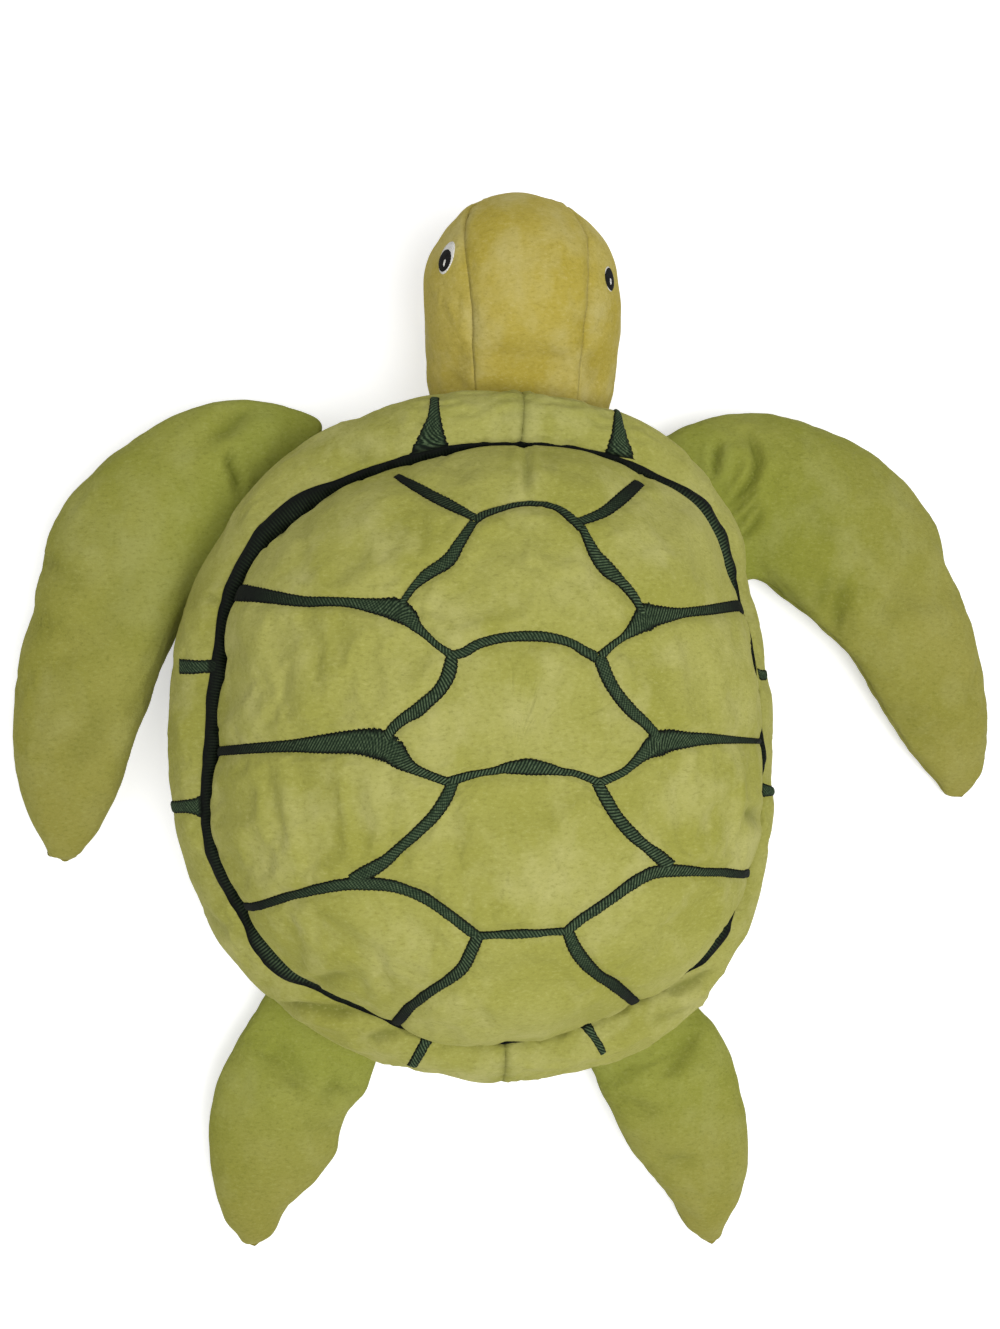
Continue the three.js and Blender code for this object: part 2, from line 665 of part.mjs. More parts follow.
// The space that a limb sweeps as it turns about its hinge, which is left out of the body:
// a knuckle's own round, opened outwards between the two rays that the limb reaches
function pocketRing(pocket, along, radius) {
  const upper = pocket.up_angle + pocket.swell_up_angle;
  const lower = pocket.down_angle + pocket.swell_down_angle;
  const step = (Math.PI - upper - lower) / pocket_steps;
  const round = (radius + joint_gap) / Math.cos(step / 2);
  const spots = Array.from({ length: pocket_steps + 1 }, (_, k) => (
    direction(Math.PI / 2 + upper + k * step).multiplyScalar(round)));
  const rayEnd = (from, ray) => (
    direction(from).multiplyScalar(pocket.knuckle_radius).addScaledVector(direction(ray), pocket.reach));
  spots.push(rayEnd(-Math.PI / 2 - lower, -lower), rayEnd(Math.PI / 2 + upper, upper));
  return spots.map((spot) => pocketPoint(pocket, along, spot));
}

function pocketPoint({ hinge, out, hinge_height, side }, along, spot) {
  const x = hinge.x + out.x * spot.x - out.y * along;
  const y = hinge.y + out.y * spot.x + out.x * along;
  return new THREE.Vector3(side * x, y, hinge_height + spot.y);
}

function pocketSpace(pocket) {
  const half_turns = Array.from({ length: pocket.columns / 2 + 1 }, (_, k) => (
    (k / pocket.columns) * 2 * Math.PI - Math.PI / 2));
  const rings = half_turns.map((turn) => pocketRing(
    pocket, pocket.root_half_width * Math.sin(turn), pocket.knuckle_radius * Math.cos(turn)));
  const first = -pocket.root_half_width - pocket.leading_room;
  const last = pocket.root_half_width + pocket.trailing_room;
  const middle = new THREE.Vector2(pocket.reach / 2, 0);
  const rows = [pocketRing(pocket, first, 0), ...rings, pocketRing(pocket, last, 0)];
  const cap = (along) => rows[0].map(() => pocketPoint(pocket, along, middle));
  return wholeBody({ rows: [cap(first), ...rows, cap(last)], wraps: true, side: pocket.side });
}

function headPocket() {
  return pocketSpace({
    side: 1, hinge: new THREE.Vector2(neck_side_offset, neck_hinge_back), out: direction(-Math.PI / 2),
    hinge_height: neck_hinge_height, root_half_width: neck_half_width, knuckle_radius: neck_knuckle_radius,
    up_angle: head_up_angle, down_angle: head_down_angle, swell_up_angle: head_swell_up_angle,
    swell_down_angle: head_swell_down_angle, reach: head_pocket_reach, columns: head_columns,
    leading_room: neck_side_room, trailing_room: neck_side_room,
  });
}

function flipperPocket(flipper) {
  return pocketSpace({
    ...flipper, up_angle: flap_up_angle, down_angle: flap_down_angle,
    swell_up_angle: flipper_swell_up_angle, swell_down_angle: flipper_swell_down_angle,
    reach: flipper_pocket_reach, columns: flipper_columns,
    leading_room: leading_side_room, trailing_room: trailing_side_room,
  });
}

// Assembly
const turtle = new THREE.Group();

function addPiece(name, solid, material) {
  const mesh = new THREE.Mesh(geometryFromSolid(solid), material);
  mesh.name = name;
  turtle.add(mesh);
}

function addShell() {
  const spaces = [headPocket(), ...Object.values(flippers).map(flipperPocket)];
  const cleared = (solid) => spaces.reduce((rest, space) => rest.subtract(space), solid);
  addPiece('shell_dome_cover', domeCover(), plush(shell_colour));
  addPiece('shell_rim_band_left', cleared(rimBand(0)), plush(shell_colour));
  addPiece('shell_rim_band_right', cleared(rimBand(half_columns)), plush(shell_colour));
  addPiece('belly_panel', cleared(bellyPanel()), plush(belly_colour));
  addPiece('body_filling', cleared(bodyFilling()), plush(fibre_colour));
  addPiece('scute_embroidery', scuteEmbroidery(), satin(thread_colour));
  addPiece('rim_embroidery', rimEmbroidery(), satin(thread_colour));
}

function addHead() {
  const sheet = headSheet();
  const left_end = head_columns / 2;
  const right_end = head_columns - crown_columns;
  const cloth = plush(head_colour);
  addPiece('head_crown_panel', limbPanel(sheet, right_end, head_columns + crown_columns), cloth);
  addPiece('head_side_panel_left', limbPanel(sheet, crown_columns, left_end), cloth);
  addPiece('head_side_panel_right', limbPanel(sheet, left_end, right_end), cloth);
  addPiece('head_filling', limbFilling(sheet), plush(fibre_colour));
  addEye('left', 1, columnsOf(sheet, crown_columns, left_end));
  addEye('right', -1, columnsOf(sheet, left_end, right_end));
}

// An eye is stitched on the side of the head, as a white oval round a dark pupil with a glint
function eyeFrame(side) {
  const turn = side * Math.acos(eye_rise / head_half_height);
  const spot = headMiddle(eye_forward, head_centre_height).add(new THREE.Vector3(
    head_half_width * Math.sin(turn), 0, head_half_height * Math.cos(turn)));
  const out = new THREE.Vector3(
    Math.sin(turn) / head_half_width, 0, Math.cos(turn) / head_half_height).normalize();
  const ahead = new THREE.Vector3(0, -1, 0);
  const up = out.clone().cross(ahead).multiplyScalar(side);
  return new THREE.Matrix4().makeBasis(ahead.multiplyScalar(side), up, out)
    .setPosition(spot.addScaledVector(out, -eye_reach / 2));
}

function eyeOval(frame, half_length, half_height, forward = 0, rise = 0) {
  const outline = new THREE.Path().absellipse(forward, rise, half_length, half_height, 0, 2 * Math.PI);
  const shape = new THREE.Shape(outline.getPoints(eye_steps).slice(0, -1));
  const geometry = new THREE.ExtrudeGeometry(shape, { depth: eye_reach, bevelEnabled: false });
  return solidFromGeometry(geometry.applyMatrix4(frame));
}

function addEye(name, side, panel) {
  const frame = eyeFrame(side);
  const layer = threadLayer(panel);
  const pupil_half_length = eye_half_length - eye_border;
  const pupil_half_height = eye_half_height - eye_border;
  const forward = side * glint_forward;
  const hole_radius = glint_radius + seam_gap;
  const white = eyeOval(frame, eye_half_length, eye_half_height)
    .subtract(eyeOval(frame, pupil_half_length + seam_gap, pupil_half_height + seam_gap));
  const pupil = eyeOval(frame, pupil_half_length, pupil_half_height)
    .subtract(eyeOval(frame, hole_radius, hole_radius, forward, glint_rise));
  const glint = eyeOval(frame, glint_radius, glint_radius, forward, glint_rise);
  addPiece(`${name}_eye_white`, layer.intersect(white), satin(white_colour));
  addPiece(`${name}_eye_pupil`, layer.intersect(pupil), satin(black_colour));
  addPiece(`${name}_eye_glint`, layer.intersect(glint), satin(white_colour));
}

function addFlipper(name, flipper) {
  const sheet = flipperSheet(flipper);
  const half = flipper_columns / 2;
  addPiece(`${name}_flipper_upper_panel`, limbPanel(sheet, 0, half), plush(flipper_colour));
  addPiece(`${name}_flipper_lower_panel`, limbPanel(sheet, half, flipper_columns), plush(flipper_colour));
  addPiece(`${name}_flipper_filling`, limbFilling(sheet), plush(fibre_colour));
}

addShell();
addHead();
Object.entries(flippers).forEach(([name, flipper]) => addFlipper(name, flipper));

export default turtle;
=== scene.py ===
from functools import partial
import math

import bmesh
import bpy
import numpy as np
from mathutils import Matrix, Vector
from mathutils.bvhtree import BVHTree
from mathutils.kdtree import KDTree


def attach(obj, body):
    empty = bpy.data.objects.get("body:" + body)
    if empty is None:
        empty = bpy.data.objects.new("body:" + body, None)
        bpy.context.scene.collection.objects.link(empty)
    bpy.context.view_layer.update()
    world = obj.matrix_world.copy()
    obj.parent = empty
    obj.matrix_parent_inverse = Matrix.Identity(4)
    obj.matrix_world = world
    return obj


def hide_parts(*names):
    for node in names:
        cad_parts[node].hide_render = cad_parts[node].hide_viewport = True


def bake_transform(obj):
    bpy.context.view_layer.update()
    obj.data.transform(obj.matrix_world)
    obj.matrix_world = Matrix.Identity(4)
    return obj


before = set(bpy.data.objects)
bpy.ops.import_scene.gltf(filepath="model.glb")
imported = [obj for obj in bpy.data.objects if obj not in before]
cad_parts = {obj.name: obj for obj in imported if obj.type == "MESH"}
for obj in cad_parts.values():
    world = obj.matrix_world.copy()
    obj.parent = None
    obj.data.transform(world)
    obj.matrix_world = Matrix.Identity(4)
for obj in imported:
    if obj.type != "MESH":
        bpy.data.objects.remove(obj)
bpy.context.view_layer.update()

# Plush sea turtle. Lengths are in millimetres here, and become metres where a mesh is made.
# X runs to the turtle's left, Y to its tail and Z up.
MM = 0.001
TAU = 2 * math.pi
SHELL_HEIGHT, GROOVE_HEIGHT, FRONT_LIFT = 112, 58, 26
# Outlines: left, right, front and rear lengths, then the power of the curve at each corner:
# front left, front right, rear left and rear right
SHELL_OUTLINE = (125.5, 122.5, 138, 138, (2.45, 2.35, 2.2, 2.75))
DOME_OUTLINE = (107, 107, 112.5, 117.5, (2.45, 2.45, 2.2, 2.2))
# Where the quilted dome's edge strays from its outline: azimuth in degrees, millimetres outwards
DOME_EDGE = [
    (-157, 0.8), (-150, 0.8), (-141, 2.2), (-131, 6), (-117, 2), (-103, 2), (-90, 0.5), (-82, -0.6),
    (-73, -2.9), (-66, -3.4), (-60, -3.3), (-54, -2.8), (-47, -2.5),
    (-40, -1.5), (-30, 0), (-24, -2), (-17, -4.5), (-9, -4.2), (0, -3.2), (6, -1.5), (13, 0.5), (20, 0.5),
    (26, -1), (31, -1.2), (36, -1), (40, -2), (46, -2.5), (51, -4.6), (56, -7.6), (62, -8.6), (75, -4),
    (95, -2.5), (112, -3.5), (125, 0.5), (135, 2.5), (148, 4.5), (162, 4), (180, 1),
]
# The same for the rim, which its flippers pull in and out
RIM_EDGE = [
    (-174, -2), (-168, -2), (-162, -1.5), (-156, -4), (-150, -2), (-144, 2), (-138, 4.3), (-132, 4.7), (-126, 4),
    (-120, 3), (-114, 1.5), (-106, 0), (-84, -0.5), (-72, -1), (-64, -2), (-54, -2.4), (-47, -3), (-41, -4),
    (-36, -3.2), (-30, -1.5), (-24, 0), (-12, -0.5), (0, -0.6), (6, -0.3), (14, -1.4), (26, -1.6), (34, -1.8),
    (42, -4), (52, -4.6), (62, -4.8), (70, -4.6), (78, -4.4), (84, -1.5), (90, 0), (97, 1), (104, 0), (110, -0.2),
    (125, -1.2), (138, -1.8), (168, -1.4), (174, -0.8),
]
# Where the rim's seams lie, front and rear, and the middle of the neck, over which the rim is arched
FRONT_AZIMUTH = math.atan2(-138, -10)
REAR_AZIMUTH = math.atan2(138, -6)
NECK_AZIMUTH = math.atan2(-138, -17)
ARCH_HALF_ANGLE = math.radians(52)
# Thickness of the cloth, and of the belly's
CLOTH, BELLY_CLOTH = 1.3, 0.9

# Camera of the photograph, in its pixels
PHOTO_WIDTH, PHOTO_HEIGHT, FOCAL_PIXELS, DISTANCE = 1000, 1329, 1190, 500
TARGET = np.array([-8.0, -32.0, 30.0])
TILT = math.radians(9)
BACK = np.array([math.sin(TILT), 0, math.cos(TILT)])
IMAGE_UP = np.array([0.0, -1.0, 0.0])
IMAGE_RIGHT = np.cross(IMAGE_UP, BACK)
EYE_POINT = TARGET + DISTANCE * BACK

# Profiles, row by row. Dome: share of its radius, share of its height.
DOME_ROWS = [
    [0, 1], [0.18, 0.985], [0.37, 0.94], [0.55, 0.86], [0.71, 0.735],
    [0.84, 0.575], [0.935, 0.39], [0.99, 0.2], [1, 0.08], [0.985, 0], [0.962, -0.035],
]
# Rim from the groove to the belly seam: share of the way out, of the groove's height, of the lift
RIM_ROWS = [
    [0, 1, 0.62], [0.24, 1.05, 0.7], [0.62, 1, 0.82], [0.89, 0.88, 0.94],
    [1, 0.73, 1], [0.92, 0.59, 0.95], [0.62, 0.46, 0.8], [0.22, 0.36, 0.6],
]
# Belly from its seam to the middle: share of the seam's radius, then as above
BELLY_ROWS = [
    [1, 0.36, 0.6], [0.94, 0.235, 0.4], [0.855, 0.125, 0.2], [0.75, 0.045, 0.06],
    [0.64, 0, 0], [0.5, 0, 0], [0.33, 0, 0], [0, 0, 0],
]
# Head from the hinge to the nose: share of its length, half width, half height, centre height
HEAD_ROWS = [
    [0.12, 0.915, 0.74, 0.72], [0.25, 0.94, 0.81, 0.79], [0.38, 0.975, 0.91, 0.9],
    [0.5, 1, 0.985, 0.975], [0.62, 0.99, 1, 1], [0.74, 0.915, 0.945, 1.01],
    [0.85, 0.745, 0.78, 1.01], [0.93, 0.525, 0.55, 1], [0.98, 0.28, 0.3, 0.99], [1, 0, 0, 0.99],
]
NECK_SIDE, NECK_BACK, NECK_HEIGHT = -17, -125, 31
NECK_HALF_WIDTH, NECK_RADIUS = 37, 25
HEAD_LENGTH, HEAD_HALF_WIDTH, HEAD_HALF_HEIGHT, HEAD_HEIGHT, HEAD_LEAN = 97, 40.5, 36, 46, 4

# Flippers, rib by rib: leading edge out and back, trailing edge out and back, half thickness. The
# first four are shares of the flipper's reach, turned with it.
LEFT_FRONT_RIBS = [
    [-0.013, -0.344, 0.131, 0.237, 0.74], [0.087, -0.369, 0.225, 0.231, 0.88],
    [0.244, -0.319, 0.263, 0.312, 0.97], [0.412, -0.206, 0.3, 0.406, 1],
    [0.537, -0.069, 0.325, 0.469, 0.98], [0.581, 0.087, 0.35, 0.531, 0.92],
    [0.631, 0.287, 0.372, 0.594, 0.83], [0.653, 0.463, 0.394, 0.662, 0.71],
    [0.631, 0.65, 0.431, 0.744, 0.55], [0.569, 0.794, 0.481, 0.8, 0.35],
    [0.525, 0.816, 0.525, 0.816, 0.3],
]
RIGHT_FRONT_RIBS = [
    [-0.011, -0.278, 0.122, 0.133, 0.74], [0.1, -0.328, 0.217, 0.083, 0.88],
    [0.233, -0.344, 0.289, 0.128, 0.97], [0.394, -0.306, 0.356, 0.167, 1],
    [0.536, -0.235, 0.406, 0.217, 0.98], [0.65, -0.128, 0.455, 0.275, 0.92],
    [0.727, 0.041, 0.502, 0.343, 0.83], [0.802, 0.206, 0.558, 0.43, 0.71],
    [0.856, 0.374, 0.618, 0.515, 0.55], [0.864, 0.532, 0.69, 0.58, 0.35],
    [0.79, 0.634, 0.79, 0.634, 0.3],
]
LEFT_REAR_RIBS = [
    [0.275, 0.11, -0.138, 0.348, 0.8], [0.375, 0.232, -0.103, 0.433, 0.95],
    [0.443, 0.364, -0.049, 0.496, 1], [0.483, 0.509, -0.004, 0.571, 0.95],
    [0.488, 0.637, 0.013, 0.652, 0.86], [0.466, 0.76, 0.062, 0.745, 0.74],
    [0.427, 0.87, 0.145, 0.83, 0.6], [0.375, 0.955, 0.205, 0.93, 0.42], [0.31, 1, 0.31, 1, 0.36],
]
RIGHT_REAR_RIBS = [
    [0.265, 0.115, -0.1, 0.33, 0.8], [0.362, 0.238, -0.062, 0.418, 0.95],
    [0.428, 0.369, -0.02, 0.484, 1], [0.467, 0.511, 0.008, 0.566, 0.95],
    [0.472, 0.635, 0.022, 0.648, 0.86], [0.451, 0.757, 0.072, 0.742, 0.74],
    [0.413, 0.865, 0.15, 0.828, 0.6], [0.363, 0.952, 0.213, 0.928, 0.42], [0.31, 1, 0.31, 1, 0.36],
]
# Hinge, its way out in degrees, half length and radius of the rounded root, most half thickness,
# and how far out the flipper bends, from and to
FRONT = dict(hinge=(86, -84, 15), angle=-10, root=48, knuckle=9.5, half_thickness=16.5, bend=(34, 92))
REAR = dict(hinge=(58.5, 101, 14), angle=61, root=26, knuckle=9, half_thickness=13.5, bend=(24, 72))
# Side 1 is the turtle's left, and turn turns the ribs about the hinge, in degrees. The trims move
# each rib's edges and the tip outwards, in millimetres.
FLIPPERS = {
    "front_left": dict(FRONT, side=1, ribs=LEFT_FRONT_RIBS, reach=163, turn=0, tip_trim=1,
                       lead_trim=(1.7, 1.2, -0.6, 0.6, -0.5, -2, -0.5, -0.5, 1, 1),
                       trail_trim=(0, 1, 2.5, 1.5, 0.5, 1, 1, 1, 1, 2)),
    "front_right": dict(FRONT, side=-1, ribs=RIGHT_FRONT_RIBS, reach=184, turn=0, tip_trim=-2.5,
                        lead_trim=(-2, -1.5, -2, -2, -1, -1, -0.5, -1, -2, -2),
                        trail_trim=(0, 0, 0.5, 2.5, 1.5, -1, -1.5, -1.5, -3, -3)),
    "rear_left": dict(REAR, side=1, ribs=LEFT_REAR_RIBS, reach=115, turn=0, tip_trim=0,
                      lead_trim=(3, 2, 2, 0.5, -0.5, 0.5, 1, 0.5), trail_trim=(0, 0.5, -0.5, 1.5, 2, 1, -2, -1)),
    "rear_right": dict(REAR, side=-1, ribs=RIGHT_REAR_RIBS, reach=131, turn=-4, tip_trim=2,
                       lead_trim=(0, 0.5, -0.5, -2, -2, 0, 0, 0.5), trail_trim=(-1, 0.5, 2.5, 2.5, -0.5, -4, -2, 1)),
}
# Height of the flippers' undersides over the floor
FLOOR_GAP = 1.5
# Rows added between a flipper's last full rib and its tip: share of the way, share of the rib's size
TIP_ROWS = ((0.58, 0.66), (0.88, 0.38))
# How far the leading corner of the front left flipper's root is drawn in, back and up
SHOULDER = np.array([-15, 3.6, 2])

# Stitched scute lines, in pixels of the photograph: x, y, width
SCUTE_LINES = [
    [(396, 475, 8), (412, 484, 12), (437, 497, 14), (460, 509, 11), (475, 517, 9)],
    [(640, 482, 12), (623, 497, 14), (605, 511, 12), (586, 519, 10), (578, 521, 9)],
    [(474, 520, 10), (486, 513, 9), (502, 507, 8), (522, 503, 6), (542, 503, 7), (558, 507, 8),
     (571, 517, 10), (582, 528, 9)],
    [(474, 521, 9), (459, 544, 12), (448, 560, 15), (428, 573, 13), (414, 586, 8), (405, 598, 7), (400, 606, 7)],
    [(582, 526, 8), (594, 550, 12), (608, 568, 16), (623, 582, 11), (636, 596, 10), (642, 607, 9), (646, 614, 9)],
    [(240, 594, 20), (250, 594, 18), (267, 596, 15), (300, 601, 12), (345, 602, 10), (376, 606, 17),
     (395, 609, 24), (408, 617, 20), (416, 626, 12), (426, 635, 8), (437, 645, 7), (450, 654, 9)],
    [(748, 605, 15), (737, 606, 12), (714, 609, 10), (688, 612, 9), (672, 614, 13), (659, 615, 18),
     (647, 617, 25), (636, 627, 15), (624, 637, 7), (612, 646, 7), (601, 656, 9)],
    [(447, 656, 9), (463, 653, 10), (477, 645, 10), (493, 640, 10), (511, 637, 10), (531, 636, 11),
     (554, 638, 10), (572, 643, 9), (585, 651, 10), (597, 658, 11)],
    [(452, 655, 11), (450, 668, 14), (446, 680, 14), (436, 694, 13), (419, 709, 13), (405, 718, 11),
     (393, 728, 11), (384, 741, 11)],
    [(598, 656, 12), (603, 666, 15), (608, 678, 14), (618, 695, 13), (632, 711, 13), (645, 722, 11),
     (655, 733, 11), (661, 743, 11)],
    [(214, 752, 11), (223, 751, 11), (256, 748, 12), (289, 746, 14), (323, 744, 21), (356, 742, 27),
     (378, 744, 33), (391, 750, 30), (401, 760, 21), (412, 768, 12), (428, 775, 9), (450, 783, 9)],
    [(764, 741, 6), (757, 741, 6), (737, 740, 8), (710, 739, 12), (688, 740, 17), (670, 741, 24),
     (656, 745, 26), (644, 754, 15), (632, 765, 9), (622, 773, 8), (600, 783, 9)],
    [(448, 782, 10), (468, 776, 9), (482, 773, 7), (495, 771, 8), (509, 768, 12), (529, 767, 16),
     (549, 769, 12), (563, 772, 8), (577, 774, 7), (601, 783, 9)],
    [(453, 782, 12), (446, 798, 14), (434, 816, 13), (419, 831, 12), (401, 847, 11), (387, 860, 13),
     (375, 868, 15), (362, 875, 15), (349, 880, 9)],
    [(597, 782, 13), (607, 800, 14), (618, 818, 13), (632, 834, 13), (647, 847, 11), (661, 858, 14),
     (672, 868, 14)],
    [(240, 908, 10), (250, 906, 10), (278, 900, 10), (300, 894, 10), (325, 888, 12), (345, 885, 13),
     (367, 885, 14), (390, 887, 14), (412, 894, 13), (434, 905, 12), (452, 917, 12), (466, 928, 12),
     (479, 937, 10)],
    [(752, 875, 9), (745, 874, 9), (725, 873, 9), (703, 872, 9), (681, 871, 12), (663, 872, 13),
     (647, 876, 13), (627, 887, 13), (609, 901, 12), (591, 914, 12), (576, 925, 12), (565, 933, 10)],
    [(476, 936, 9), (500, 935, 9), (524, 934, 10), (547, 933, 8), (567, 932, 9)],
    [(478, 935, 12), (471, 952, 13), (463, 968, 14), (446, 983, 12), (425, 997, 11), (408, 1010, 12),
     (399, 1020, 12), (394, 1026, 11)],
    [(568, 932, 12), (576, 950, 14), (587, 965, 14), (600, 977, 12), (614, 986, 13), (628, 997, 12),
     (636, 1005, 11)],
]
# Outer edge of the ring stitched round the dome, in pixels
RING_EDGE = [
    (500, 443), (467, 443), (423, 450), (378, 464), (334, 481), (289, 498), (262, 512), (247, 540),
    (236, 564), (220, 604), (215, 640), (207, 690), (205, 730), (202, 767), (201, 809), (203, 845), (205, 862),
    (213, 876), (224, 892), (235, 910), (245, 925), (251, 945), (257, 960), (271, 972), (284, 980), (302, 985),
    (315, 989), (337, 1002), (355, 1008),
    (411, 1031), (440, 1038), (480, 1044), (529, 1041), (580, 1027), (622, 1008), (650, 993), (666, 988),
    (684, 974), (702, 963), (717, 950), (729, 931), (734, 912), (744, 884), (752, 859), (758, 830),
    (760, 800), (762, 775), (766, 762), (765, 747), (761, 720), (757, 680), (753, 645),
    (741, 605), (737, 583), (734, 561), (729, 542), (723, 526), (717, 511), (702, 497), (684, 486), (662, 477),
    (640, 465),
    (605, 452), (569, 446), (524, 443),
]
# Bars and wedges that run out over the rim to the ring, in pixels: the two edges, row by row
RIM_BARS = [
    [((431, 397), (439, 397)), ((429, 411), (440, 411)), ((423, 427), (443, 427)), ((416, 442), (447, 441)),
     ((409, 455), (450, 446))],
    [((614, 409), (617, 409)), ((613, 419), (621, 419)), ((611, 431), (625, 431)), ((608, 441), (628, 441)),
     ((604, 454), (635, 460))],
    [((179, 674), (179, 659)), ((192, 674), (192, 660)), ((205, 673), (206, 660)), ((217, 674), (219, 658))],
    [((171, 812), (170, 801)), ((185, 813), (184, 800)), ((195, 815), (195, 798)), ((202, 819), (202, 794))],
    [((768, 670), (768, 680)), ((763, 670), (763, 680)), ((757, 668), (760, 679))],
    [((776, 787), (776, 795)), ((768, 785), (768, 796)), ((760, 782), (760, 797))],
    [((407, 1064), (416, 1066)), ((411, 1058), (421, 1060)), ((417, 1047), (428, 1049)), ((422, 1035), (433, 1040))],
    [((601, 1055), (606, 1052)), ((596, 1047), (603, 1044)), ((590, 1038), (597, 1035)), ((580, 1027), (590, 1021))],
]
# Folds and creases, in pixels: the points along them, then depth and half width in millimetres
CREASES = {
    "dome": [
        ([(525, 446), (526, 470), (527, 492)], 1.3, 2.2), ([(269, 546), (276, 540), (284, 534)], 1.5, 2.5),
        ([(316, 981), (330, 977), (348, 973)], 1.4, 4.5),
        ([(744, 812), (755, 815), (764, 818)], 2, 4),
    ],
    "rim": [
        ([(276, 1003), (300, 1009), (334, 1011), (358, 1008)], 2.4, 3.5),
        ([(366, 1043), (382, 1036), (400, 1028)], 2, 4), ([(664, 992), (690, 984), (716, 972)], 2.6, 4),
        ([(204, 594), (212, 598), (221, 602)], 1.2, 2.2), ([(196, 905), (215, 925), (230, 935)], 1, 5),
        ([(345, 437), (360, 450), (366, 468)], 1, 5), ([(690, 1010), (672, 1018), (650, 1022)], 1.2, 5),
    ],
    "front_left": [
        ([(229, 448), (228, 462), (234, 477), (237, 492)], 2.6, 2.4), ([(240, 402), (230, 417), (213, 439)], 2, 5),
        ([(262, 410), (259, 438), (250, 468)], -1.8, 6), ([(100, 700), (88, 740), (60, 760)], 1.4, 9),
        ([(150, 560), (120, 600), (112, 640)], 1.2, 12), ([(40, 560), (60, 570), (85, 590)], 1.2, 8),
    ],
    "front_right": [
        ([(717, 442), (716, 458), (714, 478)], 2.4, 2.4), ([(731, 440), (737, 462), (733, 482)], -0.9, 9),
        ([(747, 432), (754, 446), (757, 463), (751, 481), (739, 496), (728, 508)], 3, 2.6),
        ([(731, 516), (746, 502), (760, 488)], 1.4, 1.9), ([(736, 528), (748, 514), (760, 500)], 1.4, 1.9),
        ([(740, 541), (753, 528), (763, 510)], 1.6, 2.2), ([(838, 636), (839, 608), (845, 577)], 2.2, 6),
        ([(818, 612), (824, 592), (830, 572)], 1.4, 6), ([(800, 500), (820, 520), (836, 545)], 1.3, 10),
        ([(900, 700), (915, 730), (940, 745)], 1.2, 10), ([(925, 590), (905, 600), (880, 620)], 1, 10),
    ],
    "rear_left": [
        ([(262, 1045), (290, 1065), (310, 1100)], 1.4, 8), ([(340, 1130), (320, 1128), (300, 1122)], 1, 7),
        ([(345, 1075), (330, 1090), (322, 1112)], 1.3, 6),
    ],
    "rear_right": [
        ([(700, 1030), (680, 1050), (668, 1080)], 1.4, 7), ([(612, 1100), (640, 1106), (662, 1120)], 1.2, 7),
        ([(655, 1165), (680, 1160), (700, 1162)], 1, 7),
    ],
    "head": [
        ([(445, 385), (460, 372), (466, 350)], 1, 6), ([(600, 385), (590, 370), (588, 352)], 1, 6),
    ],
}


def catmull(table, at):
    """A smooth curve through the rows of a table, read at row numbers."""
    p = np.asarray(table, float)
    at = np.asarray(at, float)
    i = np.clip(np.floor(at).astype(int), 0, len(p) - 2)
    f = (at - i)[..., None]
    before = np.where((i > 0)[..., None], p[np.maximum(i - 1, 0)], 2 * p[i] - p[i + 1])
    last = (i + 2 < len(p))[..., None]
    after = np.where(last, p[np.minimum(i + 2, len(p) - 1)], 2 * p[i + 1] - p[i])
    a, b = p[i], p[i + 1]
    return 0.5 * (2 * a + (b - before) * f + (2 * before - 5 * a + 4 * b - after) * f ** 2
                  + (3 * a - before - 3 * b + after) * f ** 3)


def lumps(points, size, seed):
    """Smooth lumps of about one size, between -1 and 1."""
    rng = np.random.default_rng(seed)
    total = np.zeros(points.shape[:-1])
    for _ in range(10):
        way = rng.normal(size=3)
        way *= TAU / (size * rng.uniform(0.7, 1.6)) / np.linalg.norm(way)
        total += np.sin(points @ way + rng.uniform(0, TAU))
    return total / 4.5


def wrapped(angle):
    """The same angle between minus and plus half a turn."""
    return np.arctan2(np.sin(angle), np.cos(angle))


def bell(reach, size):
    """Weights that blur values over so many places either way."""
    kernel = np.exp(-(np.arange(-reach, reach + 1) / size) ** 2)
    return kernel / kernel.sum()


def unit(vector):
    return vector / np.linalg.norm(vector)


def run_along(points):
    """Length of a path from its start to each of its points."""
    return np.concatenate([[0], np.cumsum(np.linalg.norm(np.diff(points, axis=0), axis=1))])


def outline(azimuth, left, right, front, rear, corners):
    """Radius of a rounded outline, from its four lengths and the powers of its corners."""
    front_left, front_right, rear_left, rear_right = corners
    to_left, ahead = np.cos(azimuth) > 0, np.sin(azimuth) < 0
    power = np.where(ahead, np.where(to_left, front_left, front_right), np.where(to_left, rear_left, rear_right))
    across = np.abs(np.cos(azimuth)) / np.where(to_left, left, right)
    along = np.abs(np.sin(azimuth)) / np.where(ahead, front, rear)
    return (across ** power + along ** power) ** (-1 / power)


# Offsets of the edges are kept for whole degrees, over three turns
STRAY_TURNS = np.radians(np.arange(-540, 541))


def stray(table, blur):
    """Offsets of an edge, smoothed over some degrees."""
    turns = np.radians([angle + turn for turn in (-360, 0, 360) for angle, _ in table])
    offsets = np.interp(STRAY_TURNS, turns, [offset for _, offset in table] * 3)
    return np.convolve(offsets, bell(15, blur), "same")


DOME_OFFSETS, RIM_OFFSETS = stray(DOME_EDGE, 5), stray(RIM_EDGE, 4)


def shell_radius(azimuth):
    return outline(azimuth, *SHELL_OUTLINE) + np.interp(wrapped(azimuth), STRAY_TURNS, RIM_OFFSETS)


def dome_radius(azimuth):
    return outline(azimuth, *DOME_OUTLINE) + np.interp(wrapped(azimuth), STRAY_TURNS, DOME_OFFSETS)


